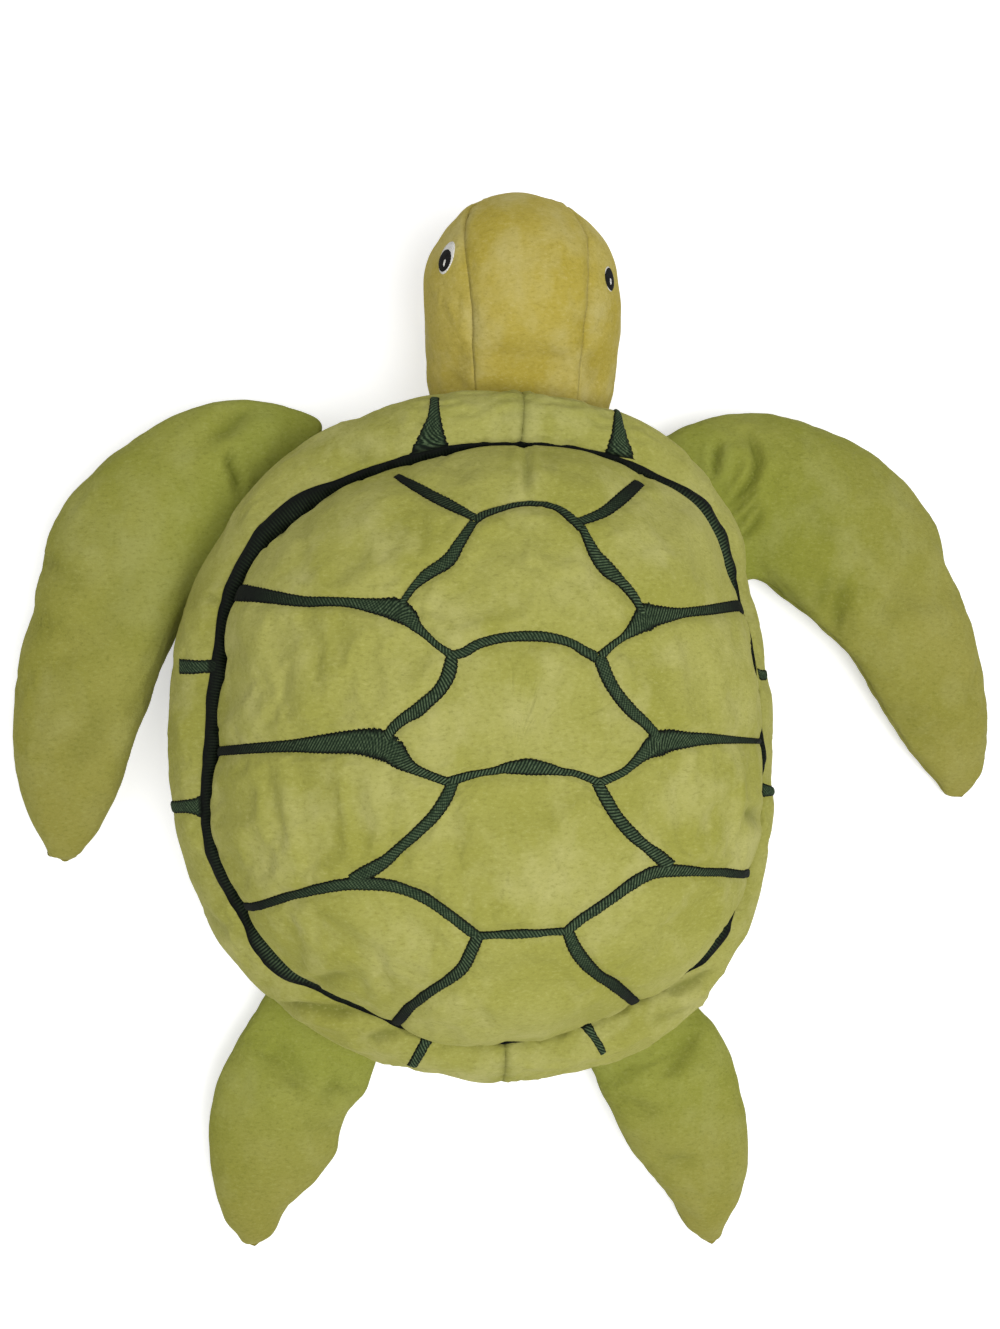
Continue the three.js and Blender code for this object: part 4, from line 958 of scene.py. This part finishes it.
# Belly: lumpy where it stands clear of the floor
BELLY_GRID_ROWS = 46
belly_rows = np.linspace(0, len(BELLY_ROWS) - 1, BELLY_GRID_ROWS)
belly_skin = on_grid(belly_base, azimuths, belly_rows)
belly_plain_normals = grid_normals(belly_skin)
belly_push, belly_near = seamed(0, belly_skin, [belly_skin[:1]], depth=1.4, reach=2.2)
clear = np.clip(belly_skin[..., 2] / 6, 0, 1)
belly_push += clear * (0.7 * lumps(belly_skin, 40, seed=80)
                       + puckers(belly_skin, belly_near, size=9, depth=0.6, seed=81))
belly_skin = belly_skin + belly_plain_normals * belly_push[..., None]
belly_skin[..., 2] = np.maximum(belly_skin[..., 2], 0)
draw_in(belly_skin, -1)
outside = belly_rows < 4.2
belly_skin[outside] = clear_of_limbs(belly_skin[outside], side=-1, gap=1.2)


# Materials
def material(name):
    made = bpy.data.materials.new(name)
    made.use_nodes = True
    tree = made.node_tree
    return made, tree, tree.nodes["Principled BSDF"]


def feed(tree, made, **sockets):
    """Sets the inputs of a node, which are named with in_ before, or links them to other nodes' outputs."""
    for key, value in sockets.items():
        key = key[3:]
        socket = made.inputs[int(key) if key.isdigit() else key.replace("_", " ")]
        if isinstance(value, bpy.types.NodeSocket):
            tree.links.new(value, socket)
        else:
            socket.default_value = value


def node(tree, kind, **settings):
    """A new node. Settings that start with in_ are its inputs, by name or number."""
    made = tree.nodes.new(kind)
    inputs = {key: value for key, value in settings.items() if key.startswith("in_")}
    for key, value in settings.items():
        if key not in inputs:
            setattr(made, key, value)
    feed(tree, made, **inputs)
    return made


def attribute(tree, name, output="Fac"):
    return node(tree, "ShaderNodeAttribute", attribute_name=name).outputs[output]


def noise_of(tree, vector, scale, detail=2.0, stretch=None, rough=0.5):
    if stretch is not None:
        vector = node(tree, "ShaderNodeMapping", in_Scale=stretch, in_Vector=vector).outputs["Vector"]
    return node(tree, "ShaderNodeTexNoise", in_Scale=scale, in_Detail=detail, in_Roughness=rough,
                in_Vector=vector).outputs["Fac"]


def ranged(tree, value, low, high, out_low=0.0, out_high=1.0):
    return node(tree, "ShaderNodeMapRange", in_From_Min=low, in_From_Max=high, in_To_Min=out_low, in_To_Max=out_high,
                in_Value=value).outputs["Result"]


def mixed(tree, factor, a, b):
    return node(tree, "ShaderNodeMix", data_type="RGBA", in_0=factor, in_6=a, in_7=b).outputs[2]


def maths(tree, operation, a, b):
    return node(tree, "ShaderNodeMath", operation=operation, in_0=a, in_1=b).outputs[0]


def srgb(*colour):
    """A colour as it looks in a picture, 0 to 255, as the linear colour that a shader takes."""
    shares = [c / 255 for c in colour]
    return (*(c / 12.92 if c <= 0.04045 else ((c + 0.055) / 1.055) ** 2.4 for c in shares), 1)


def finish_look(tree, shader, colour, roughness, specular, height, strength, distance):
    """Gives a shader its colour and gloss, and the relief of a height."""
    bump = node(tree, "ShaderNodeBump", in_Strength=strength, in_Distance=distance, in_Height=height)
    feed(tree, shader, in_Base_Color=colour, in_Roughness=roughness, in_Specular_IOR_Level=specular,
         in_Normal=bump.outputs["Normal"])


def plush(name, base, pale, deep, fold_colour, root_shade_colour=None, tip_colour=None):
    """Short pile: nap that lies in patches, a fine grain, and a pale bloom where it is seen edge on."""
    made, tree, shader = material(name)
    place = attribute(tree, "rest", "Vector")
    patches = noise_of(tree, place, 21, 3, rough=0.55)
    colour = mixed(tree, ranged(tree, patches, 0.38, 0.64), srgb(*deep), srgb(*base))
    bloom = noise_of(tree, place, 48, 3, stretch=(1, 0.7, 1), rough=0.6)
    colour = mixed(tree, ranged(tree, bloom, 0.48, 0.7, 0, 0.65), colour, srgb(*pale))
    # Painted shade: greener and a little darker near the flippers' roots, and darker in creases, seams and grooves.
    # Towards the flippers' tips the cloth's own tone is browner.
    for key, shown, most in (("root", root_shade_colour, 0.7), ("tip", tip_colour, 0.7), ("fold", fold_colour, 0.75)):
        if shown is not None:
            colour = mixed(tree, ranged(tree, attribute(tree, key), 0, 1, 0, most), colour, srgb(*shown))
    grain = noise_of(tree, place, 700, 3, stretch=(0.7, 1.15, 1), rough=0.75)
    dark = (*(0.62 * c for c in srgb(*deep)[:3]), 1)
    colour = mixed(tree, ranged(tree, grain, 0.3, 0.47, 0.42, 0), colour, dark)
    light = (*(min(1.2 * c, 1) for c in srgb(*pale)[:3]), 1)
    colour = mixed(tree, ranged(tree, grain, 0.54, 0.75, 0, 0.36), colour, light)
    feed(tree, shader, in_Sheen_Weight=0.35, in_Sheen_Roughness=0.45, in_Sheen_Tint=srgb(*pale))
    pile = noise_of(tree, place, 1300, 3, stretch=(0.5, 1, 1), rough=0.65)
    soft = noise_of(tree, place, 240, 3)
    height = maths(tree, "ADD", maths(tree, "MULTIPLY", pile, 0.6), maths(tree, "MULTIPLY", soft, 0.9))
    finish_look(tree, shader, colour, 0.92, 0.15, height, strength=0.6, distance=0.0007)
    return made


def thread(name, dark, middle, light):
    """Satin stitch: fine strands side by side, with painted shade along the edges and between the threads, and the
    light colour as a painted highlight where they bulge.
    """
    made, tree, shader = material(name)
    dark, middle, light = srgb(*dark), srgb(*middle), srgb(*light)
    place = attribute(tree, "rest", "Vector")
    strand = attribute(tree, "strand")
    flecks = noise_of(tree, place, 850, 3, rough=0.75)
    patches = noise_of(tree, place, 120, 3)
    # Painted highlight on the crest of each strand, broken up by flecks
    painted_strand_highlight = maths(tree, "MULTIPLY", ranged(tree, flecks, 0.38, 0.66, 0.25, 1), ranged(tree, strand, 0.35, 1.0))
    colour = mixed(tree, ranged(tree, patches, 0.35, 0.65, 0.15, 0), middle, dark)
    colour = mixed(tree, painted_strand_highlight, colour, light)
    # Painted shade between the threads, together with dark flecks in the thread
    gap_shade_and_flecks = maths(tree, "MAXIMUM", ranged(tree, strand, 0.0, 0.45, 0.85, 0), ranged(tree, flecks, 0.3, 0.42, 0.5, 0))
    # Painted shade along the pad's edges, made ragged by the flecks; the shade attribute adds more painted shade
    rim = maths(tree, "ADD", attribute(tree, "edge"), ranged(tree, flecks, 0.3, 0.7, -0.16, 0.16))
    for share in (gap_shade_and_flecks, ranged(tree, rim, 0.6, 0.92), attribute(tree, "shade")):
        colour = mixed(tree, share, colour, dark)
    hair = noise_of(tree, place, 2300, 2, rough=0.7)
    finish_look(tree, shader, colour, 0.75, 0.1, hair, strength=0.6, distance=0.0003)
    return made


def fibre():
    made, tree, shader = material("loose_fibre")
    wisps = noise_of(tree, attribute(tree, "rest", "Vector"), 140, 5, rough=0.7)
    colour = mixed(tree, ranged(tree, wisps, 0.35, 0.7), srgb(205, 204, 196), srgb(240, 239, 233))
    finish_look(tree, shader, colour, 0.95, 0.5, wisps, strength=0.8, distance=0.002)
    return made


shell_plush = plush("shell_plush", (167, 165, 90), (182, 179, 114), (153, 152, 70), (100, 104, 40))
belly_plush = plush("belly_plush", (186, 184, 128), (200, 198, 150), (166, 166, 104), (120, 122, 66))
head_plush = plush("head_plush", (184, 168, 82), (195, 184, 122), (175, 158, 64), (136, 122, 48))
flipper_plush = plush("flipper_plush", (151, 150, 74), (162, 162, 96), (138, 140, 56), (92, 98, 26),
                      root_shade_colour=(144, 151, 62), tip_colour=(149, 137, 66))
green_thread = thread("green_thread", (6, 9, 6), (27, 44, 28), (104, 124, 90))
white_thread = thread("white_thread", (150, 148, 140), (228, 226, 218), (246, 245, 240))
black_thread = thread("black_thread", (6, 6, 6), (16, 16, 16), (52, 52, 50))
fibre_fill = fibre()


def finish_piece(obj, look, node_name):
    """Gives a piece its look and hides the CAD node it replaces."""
    obj.data.materials.append(look)
    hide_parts(node_name)


def dress(obj, look, node_name):
    """Finishes a piece that belongs to the shell."""
    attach(obj, "shell")
    finish_piece(obj, look, node_name)


def dress_limb(obj, look, node_name):
    """Finishes a piece of a limb, with its placing baked into its points."""
    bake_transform(obj)
    finish_piece(obj, look, node_name)


# Shell pieces
dome = cloth("dome_cover", dome_skin, grid_normals(dome_skin), True, 1, fold=dome_fold)
dress(dome, shell_plush, "shell_dome_cover")

rim_normals = grid_normals(rim_skin)
for name, first in (("left", 0), ("right", DOME_COLUMNS)):
    index = (first + np.arange(DOME_COLUMNS + 1)) % len(azimuths)
    band = cloth(f"rim_band_{name}", rim_skin[:, index], rim_normals[:, index], False, 1, fold=rim_fold[:, index])
    dress(band, shell_plush, f"shell_rim_band_{name}")
# Painted shade darkens the belly along its seam
belly = cloth("belly_cover", belly_skin, grid_normals(belly_skin), True, 1, thickness=BELLY_CLOTH,
              fold=0.7 * belly_near)
dress(belly, belly_plush, "belly_panel")

# The filling is the plain shell made smaller, and it keeps below the groove between dome and rim
FILLING_MIDDLE, FILLING_SHARE, FILLING_DROP = np.array([0, 0, 48.0]), np.array([0.87, 0.87, 0.84]), 7
coarse = azimuths[::4]
inner_dome = on_grid(dome_base, coarse, dome_ways[::3])
inner_rim = on_grid(rim_base, coarse, rim_rows[::3])
inner_belly = on_grid(belly_base, coarse, belly_rows[3::3])
inner_dome[..., 2] -= FILLING_DROP * np.clip((dome_ways[::3, None] - 0.75) / 0.2, 0, 1)
inner_rim[..., 2] -= FILLING_DROP * np.clip((5 - rim_rows[::3, None]) / 2, 0, 1)
filling = np.concatenate([inner_dome, inner_rim, inner_belly])
filling = FILLING_MIDDLE + (filling - FILLING_MIDDLE) * FILLING_SHARE
filling += lumps(filling, 18, seed=90)[..., None] * 1.2
draw_in(filling, 0, -1)
dress(body("body_fibre", filling, 1), fibre_fill, "body_filling")


def closed_inside(points):
    """A filling's grid, closed with a point at either end."""
    points = np.concatenate([points, points[-1:].mean(1, keepdims=True) + 0 * points[-1:]])
    draw_in(points, 0)
    return points


# Head pieces
# Painted shade: darker in the creases, along the crown's seams and where the neck goes under the shell's front
head_painted_shade = np.maximum(head_fold, 0.18 * head_seams ** 2)
head_painted_shade = np.maximum(head_painted_shade, 0.5 * np.exp(-np.maximum(head_rows - 6.6, 0) / 0.5)[:, None])
for name, first, last, node_name in (
    ("head_crown", -CROWN, CROWN, "head_crown_panel"),
    ("head_side_left", CROWN, HEAD_COLUMNS // 2, "head_side_panel_left"),
    ("head_side_right", HEAD_COLUMNS // 2, HEAD_COLUMNS - CROWN, "head_side_panel_right"),
):
    index = np.arange(first, last + 1) % HEAD_COLUMNS
    piece = cloth(name, head_skin[:, index], head_skin_normals[:, index], False, 1, fold=head_painted_shade[:, index])
    dress_limb(piece, head_plush, node_name)
piece = body("head_fibre", closed_inside(head_points[::3, ::4] - head_normals[::3, ::4] * 5), 1)
dress_limb(piece, fibre_fill, "head_filling")

# Flippers
for name, f in FLIPPERS.items():
    side, hinge, angle = f["side"], np.array(f["hinge"]), math.radians(f["angle"])
    out = np.array([side * math.cos(angle), math.sin(angle), 0])
    # Values along the flipper, the same all round it
    rows = f["rows"][:, None] + 0 * flipper_turns
    tip = np.clip((rows - 6) / (f["last"] - 6), 0, 1)
    # Painted shade near the body, where the shell shades the flipper: greener and a little darker
    root = np.exp(-np.maximum(rows - 4.6, 0) / 1.3)
    # More painted shade over the rounded root, which goes in under the shell
    fold = np.clip(f["fold"] + 0.25 * np.exp(-np.maximum(rows - 3.2, 0) / 0.5), 0, 1)
    for part, first, last in (("upper", 0, HALF_ROUND), ("lower", HALF_ROUND, FLIPPER_COLUMNS)):
        index = np.arange(first, last + 1) % FLIPPER_COLUMNS
        piece = cloth(f"{name}_flipper_{part}", f["skin"][:, index], f["skin_normals"][:, index], False, side,
                      thickness=f["thickness"][:, index], fold=fold[:, index], root=root[:, index], tip=tip[:, index])
        dress_limb(piece, flipper_plush,
                   f"{name}_flipper_{part}_panel")
    # The filling stops short of the tip
    inside = f["skin"][:-15:3, ::4]
    middle = inside.mean(1, keepdims=True)
    inside = closed_inside(middle + (inside - middle) * [0.86, 0.86, 0.72])
    piece = body(f"{name}_flipper_fibre", inside, side)
    dress_limb(piece, fibre_fill, f"{name}_flipper_filling")

# Stitching: pads of satin stitch that follow the cloth. Distance between threads, how far the
# pads reach into the cloth, and the step along them.
THREAD_PITCH, PAD_SINK = 1.25, 0.5
STITCH_STEP = 0.3


def square_halves(centre, half_width):
    """Half widths as steps at right angles to a strip."""
    tangent = np.gradient(centre, axis=0)
    tangent /= np.linalg.norm(tangent, axis=1, keepdims=True)
    return np.stack([-tangent[:, 1], tangent[:, 0]], 1) * np.maximum(half_width, 0.5)[:, None]


def satin(run, across, half_width, lean):
    """Strands that lean across a strip, 0 between threads and 1 on them, and the crown of its section."""
    phase = (run[:, None] + lean * half_width[:, None] * across) / THREAD_PITCH * TAU
    return 0.5 + 0.5 * np.sin(phase), np.sqrt(np.clip(1 - np.abs(across) ** 2.6, 0, 1))[None]


def pad(place_on, centre, halves, lean, height, columns=9):
    """A strip of satin stitch. centre gives map places along the strip and halves the steps from
    there to its edge, and place_on turns places into points and normals. Returns the grids of its
    top and bottom and the strand and edge values."""
    across = np.linspace(-1, 1, columns)
    steps = np.arange(len(centre))
    ragged = 1 + 0.09 * np.sin(steps * 1.9) * np.sin(steps * 0.83 + 1)
    halves = halves * ragged[:, None]
    points, normals = place_on(centre[:, None] + halves[:, None] * across[None, :, None])
    run = run_along(centre)
    strand, crown = satin(run, across, np.linalg.norm(halves, axis=1), lean)
    fade = np.clip(np.minimum(run, run[-1] - run) / 0.8, 0, 1)[:, None] ** 0.5
    rise = (0.12 + (height + 0.2 * strand) * crown) * np.maximum(fade, 0.15)
    return points + normals * rise[..., None], points - normals * PAD_SINK, strand, np.abs(across) + 0 * strand


def join_grids(name, grids):
    """One object from several closed strips, each a top grid and a bottom grid."""
    points, faces, values, count = [], [], {"strand": [], "edge": [], "shade": []}, 0
    for top, bottom, *looks in grids:
        number = numbered(*top.shape[:2], first=count)
        quads = grid_quads(number, wraps=False)
        loop = np.concatenate([number[:, 0], number[-1, 1:], number[-2::-1, -1], number[0, -2::-1]])
        both = np.concatenate([quads, quads[:, ::-1] + number.size, wall(loop, number.size)])
        row, column = top.shape[0] // 2, top.shape[1] // 2
        p = top[row, column]
        if np.cross(top[row + 1, column] - p, top[row, column + 1] - p) @ (p - bottom[row, column]) < 0:
            both = both[:, ::-1]
        faces.append(both)
        points += [top.reshape(-1, 3), bottom.reshape(-1, 3)]
        for stack, value in zip(values.values(), looks):
            stack += [np.broadcast_to(value, top.shape[:2]).ravel()] * 2
        count += 2 * number.size
    values = {key: np.concatenate(stack) for key, stack in values.items()}
    return make_mesh(name, np.concatenate(points), np.concatenate(faces), **values)


def dome_surface(place):
    """Points and normals at places of the dome's map."""
    azimuth = np.arctan2(place[..., 1], place[..., 0])
    return dome_skin_at(azimuth, np.clip(np.linalg.norm(place, axis=-1) / DOME_WAY, 0.002, 0.985))[:2]


def strip(line):
    """Evenly spaced rows along a curve through the rows of a line."""
    fine = catmull(line, np.linspace(0, len(line) - 1, 40 * len(line)))
    run = run_along(fine[:, :2])
    even = np.linspace(0, run[-1], max(int(run[-1] / STITCH_STEP), 6))
    return np.stack([np.interp(even, run, column) for column in fine.T], 1)


grids = []
for number, line in enumerate(scute_lines):
    even = strip(line)
    centre = even[:, :2]
    stitched = pad(dome_surface, centre, square_halves(centre, even[:, 2] / 2),
                   lean=0.7 if number % 2 else -0.6, height=0.75 + 0.04 * (number % 5))
    # Painted shade on the thread, darker towards the groove
    reach = np.linalg.norm(centre, axis=1) / DOME_WAY
    grids.append((*stitched, np.clip((reach - 0.55) / 0.3, 0, 0.95)[:, None]))
dress(join_grids("scute_stitching", grids), green_thread, "scute_embroidery")

# Ring and bars on the rim. A rim place is azimuth and distance from the groove, unfolded to millimetres.
_rim_fine = np.linspace(0, RIM_LAST_ROW, 701)
RIM_SECTION = [RIM_WIDTH, GROOVE_HEIGHT]


def rim_row_at(distance):
    """The rim's row at a distance from the groove along its surface."""
    return np.interp(distance, run_along(catmull(RIM_ROWS, _rim_fine)[:, :2] * RIM_SECTION), _rim_fine)


def rim_place(point):
    """Azimuth of a point of the rim and its distance from the groove."""
    azimuth = math.atan2(point[1], point[0])
    rows = np.linspace(0, 5, 400)
    best = int(np.linalg.norm(rim_base(np.full(len(rows), azimuth), rows) - point, axis=1).argmin())
    return azimuth, float(run_along(catmull(RIM_ROWS, rows[:best + 1])[:, :2] * RIM_SECTION)[-1])


def rim_surface(place):
    """A rim place's point and normal. Places before the groove go down into it, under the dome."""
    azimuth = place[..., 0] / RIM_RADIUS
    points, normal, _ = rim_skin_at(azimuth, rim_row_at(np.maximum(place[..., 1], 0)))
    tuck = np.minimum(place[..., 1], 0)[..., None]
    return points + tuck * polar(azimuth, 0.85, 0 * azimuth + 0.53), normal


# The ring starts this far down in the groove, and runs out to its edge in the photograph
RING_TUCK, RING_NARROWEST, RING_WIDEST = 9, 1, 8.5
ring = np.array(sorted(rim_place(cast(rim_plain_tree, px, py)) for px, py in RING_EDGE))
ring_azimuths = np.concatenate([ring[:, 0] - TAU, ring[:, 0], ring[:, 0] + TAU])
ring_widths = np.tile(np.clip(ring[:, 1], RING_NARROWEST, RING_WIDEST), 3)
around = np.linspace(-math.pi, math.pi, int(TAU * RIM_RADIUS / STITCH_STEP))
ring_width = np.interp(around, ring_azimuths, ring_widths)
ring_width = np.convolve(np.concatenate([ring_width[-20:], ring_width, ring_width[:20]]), bell(20, 10), "valid")
run = around * RIM_RADIUS
half = ring_width / 2 + RING_TUCK / 2
across = np.linspace(-1, 1, 11)
out = (ring_width / 2 - RING_TUCK / 2)[:, None] + half[:, None] * across
points, normals = rim_surface(np.stack([run[:, None] + 0 * out, out], -1))
strand, crown = satin(run, across, half, lean=0.8)
rise = 0.35 + (0.7 + 0.13 * strand) * crown
# Its section is a loop of the top and the bottom, and the last section is the first one again
top, bottom = points + normals * rise[..., None], points - normals * PAD_SINK
loops = np.concatenate([top, bottom[:, ::-1]], 1)[:-1]
ring_strand = np.concatenate([strand, strand[:, ::-1]], 1)[:-1]
ring_edge = np.broadcast_to(np.tile(np.abs(across), 2), ring_strand.shape)
# Painted shade darkens the ring, where the dome's edge overhangs it, but its green thread shows at the front right,
# the rear right and,
# less so, the rear left: azimuth and spread in degrees, and strength
green = sum(strength * np.exp(-((np.degrees(around[:-1]) - azimuth) / spread) ** 2)
            for azimuth, spread, strength in ((-143, 16, 1), (128, 14, 1), (48, 16, 0.8)))
ring_shade = np.broadcast_to((0.8 * (1 - np.clip(green, 0, 1)))[:, None], ring_strand.shape)
number = numbered(*loops.shape[:2])
faces = grid_quads(np.append(number, number[:1], 0))
p = loops[0, 5]
if np.cross(loops[1, 5] - p, loops[0, 6] - p) @ normals[0, 5] < 0:
    faces = faces[:, ::-1]
ring_piece = make_mesh("rim_ring_stitching", loops.reshape(-1, 3), faces, strand=ring_strand, edge=ring_edge,
                       shade=ring_shade)
dress(ring_piece, green_thread, "rim_embroidery")

# Bars start a little way out over the ring, and painted shade darkens them on it
BAR_START = 0.35
grids = []
for edges in RIM_BARS:
    rows = []
    for pair in edges:
        one, other = (np.array(rim_place(cast(rim_plain_tree, px, py))) * [RIM_RADIUS, 1] for px, py in pair)
        rows.append([*(one + other) / 2, *(other - one) / 2])
    even = strip(np.array(rows))
    ring_here = np.interp(even[:, 0] / RIM_RADIUS, around, ring_width)
    kept = even[:, 1] > BAR_START * ring_here
    even, ring_here = even[kept], ring_here[kept]
    stitched = pad(rim_surface, even[:, :2], even[:, 2:], lean=0.9, height=0.65, columns=13)
    grids.append((*stitched, np.clip(1.2 + ring_here[:, None] - even[:, 1:2], 0, 0.8)))
dress(join_grids("rim_bar_stitching", grids), green_thread, "rim_embroidery")


# Eyes: ovals of satin stitch on the sides of the head
EYE_THREAD_PITCH, EYE_SINK = 0.55, 0.4


def eye(name, centre_pixel, tilt, border):
    """An eye where a pixel shows it, tilted in degrees, with its border's half sizes and place ahead."""
    centre = cast(head_skin_tree, *centre_pixel)
    index = np.unravel_index(np.linalg.norm(head_skin - centre, axis=2).argmin(), head_skin.shape[:2])
    normal = head_skin_normals[index]
    ahead = np.array([0, -1.0, 0])
    ahead = unit(ahead - normal * (ahead @ normal))
    up = np.cross(normal, ahead)
    up *= np.sign(up[2])
    c, s = math.cos(math.radians(tilt)), math.sin(math.radians(tilt))
    ahead, up = ahead * c + up * s, up * c - ahead * s
    rings = np.linspace(0, 1, 15)[:, None]
    turns = np.arange(72) / 72 * TAU

    def oval(piece_name, look, slot, node_name, half_length, half_height, forward, rise, height):
        """A domed oval, its half sizes, its place ahead and up from the middle, and its height."""
        u = forward + half_length * rings * np.cos(turns)
        v = rise + half_height * rings * np.sin(turns)
        flat = centre + u[..., None] * ahead + v[..., None] * up
        top = np.empty_like(flat)
        for k in np.ndindex(flat.shape[:2]):
            hit = head_skin_tree.ray_cast(Vector(flat[k] + normal * 20), Vector(-normal))[0]
            top[k] = flat[k] if hit is None else hit
        strand = 0.5 + 0.5 * np.sin((v + 0.3 * u) / EYE_THREAD_PITCH * TAU)
        crown = np.sqrt(np.clip(1 - rings ** 3, 0, 1))
        raised = top + normal * ((height + 0.1 * strand) * crown + 0.1)[..., None]
        points = np.concatenate([raised, top[::-1] - normal * EYE_SINK])
        draw_in(points, 0, -1)
        strand = np.concatenate([strand, strand[::-1]])
        # A little painted shade along the oval's outer rim
        edge = np.broadcast_to(np.concatenate([rings, rings[::-1]]), strand.shape) * 0.6
        p = points[6, 0]
        facing = np.cross(points[7, 0] - p, points[6, 1] - p) @ normal
        obj = body(piece_name, points, 1 if facing > 0 else -1, strand=strand, edge=edge, shade=0 * strand)
        dress_limb(obj, look, node_name)

    oval(f"{name}_eye_border", white_thread, "white_thread", f"{name}_eye_white", *border, 0.1, 0.35)
    oval(f"{name}_eye_iris", black_thread, "black_thread", f"{name}_eye_pupil", 4.6, 3.5, -0.1, 0, 0.75)
    oval(f"{name}_eye_shine", white_thread, "white_thread", f"{name}_eye_glint", 1.7, 0.6, -1.2, 1.0, 1.0)


eye("left", (445, 260), 20, (6.4, 3.8, 1.1))
eye("right", (609.5, 279), 8, (4.8, 3.35, 0))


# Stage, light and camera
def seen_directly(tree):
    """1 for rays from the camera, a reflection or a see-through surface, and 0 for light."""
    rays = tree.nodes.new("ShaderNodeLightPath").outputs
    seen = maths(tree, "MAXIMUM", rays["Is Camera Ray"], rays["Is Glossy Ray"])
    return maths(tree, "MAXIMUM", seen, rays["Is Transmission Ray"])


def either(tree, factor, one, other):
    return node(tree, "ShaderNodeMixShader", in_0=factor, in_1=one, in_2=other).outputs[0]


WHITE = (1, 1, 1, 1)
FLOOR_HALF_SIZE, FLOOR_DROP = 6.0, 0.0002
floor_mesh = bpy.data.meshes.new("floor")
corners = [(x * FLOOR_HALF_SIZE, y * FLOOR_HALF_SIZE, 0) for x, y in ((-1, -1), (1, -1), (1, 1), (-1, 1))]
floor_mesh.from_pydata(corners, [], [(0, 1, 2, 3)])
floor = bpy.data.objects.new("floor", floor_mesh)
floor.location.z = -FLOOR_DROP
bpy.context.scene.collection.objects.link(floor)
floor_look = bpy.data.materials.new("pale_floor")
floor_look.use_nodes = True
tree = floor_look.node_tree
tree.nodes.clear()
diffuse = node(tree, "ShaderNodeBsdfDiffuse", in_Color=(0.84, 0.84, 0.84, 1)).outputs[0]
glow = node(tree, "ShaderNodeEmission", in_Color=WHITE, in_Strength=0.5).outputs[0]
both = node(tree, "ShaderNodeAddShader", in_0=diffuse, in_1=glow).outputs[0]
# Further out the floor goes over to plain white, so that it meets the background without a line
position = tree.nodes.new("ShaderNodeTexCoord").outputs["Object"]
distance = node(tree, "ShaderNodeVectorMath", operation="LENGTH", in_0=position).outputs["Value"]
plain = node(tree, "ShaderNodeEmission", in_Color=WHITE, in_Strength=1.0).outputs[0]
fading = either(tree, ranged(tree, distance, 0.45, 1.1), both, plain)
node(tree, "ShaderNodeOutputMaterial", in_Surface=either(tree, seen_directly(tree), diffuse, fading))
floor_mesh.materials.append(floor_look)

world = bpy.data.worlds.new("studio")
world.use_nodes = True
tree = world.node_tree
tree.nodes.clear()
dim, bright = (node(tree, "ShaderNodeBackground", in_Color=WHITE, in_Strength=strength).outputs[0]
               for strength in (0.33, 1.0))
node(tree, "ShaderNodeOutputWorld", in_Surface=either(tree, seen_directly(tree), dim, bright))
bpy.context.scene.world = world


def lamp(name, place, target, size, power):
    data = bpy.data.lights.new(name, "AREA")
    data.shape = "DISK"
    data.size = size
    data.energy = power
    obj = bpy.data.objects.new(name, data)
    obj.location = place
    obj.rotation_mode = "QUATERNION"
    obj.rotation_quaternion = (Vector(target) - Vector(place)).to_track_quat("-Z", "Y")
    bpy.context.scene.collection.objects.link(obj)


lamp("key_lamp", (-0.32, 0.26, 1.2), (0, 0, 0.04), 0.9, 11)
lamp("fill_lamp", (0.7, -0.2, 1.1), (0, 0, 0.04), 1.2, 3.1)

SENSOR = 36
camera_data = bpy.data.cameras.new("camera")
camera_data.sensor_width = SENSOR
camera_data.lens = SENSOR * FOCAL_PIXELS / PHOTO_HEIGHT
camera_data.clip_start, camera_data.clip_end = 0.02, 20
camera = bpy.data.objects.new("camera", camera_data)
camera.rotation_mode = "QUATERNION"
rows = np.column_stack([IMAGE_RIGHT, IMAGE_UP, BACK, EYE_POINT * MM])
camera.matrix_world = Matrix([*rows.tolist(), [0, 0, 0, 1]])
bpy.context.scene.collection.objects.link(camera)
bpy.context.scene.camera = camera
bpy.context.scene.view_settings.view_transform = "Standard"
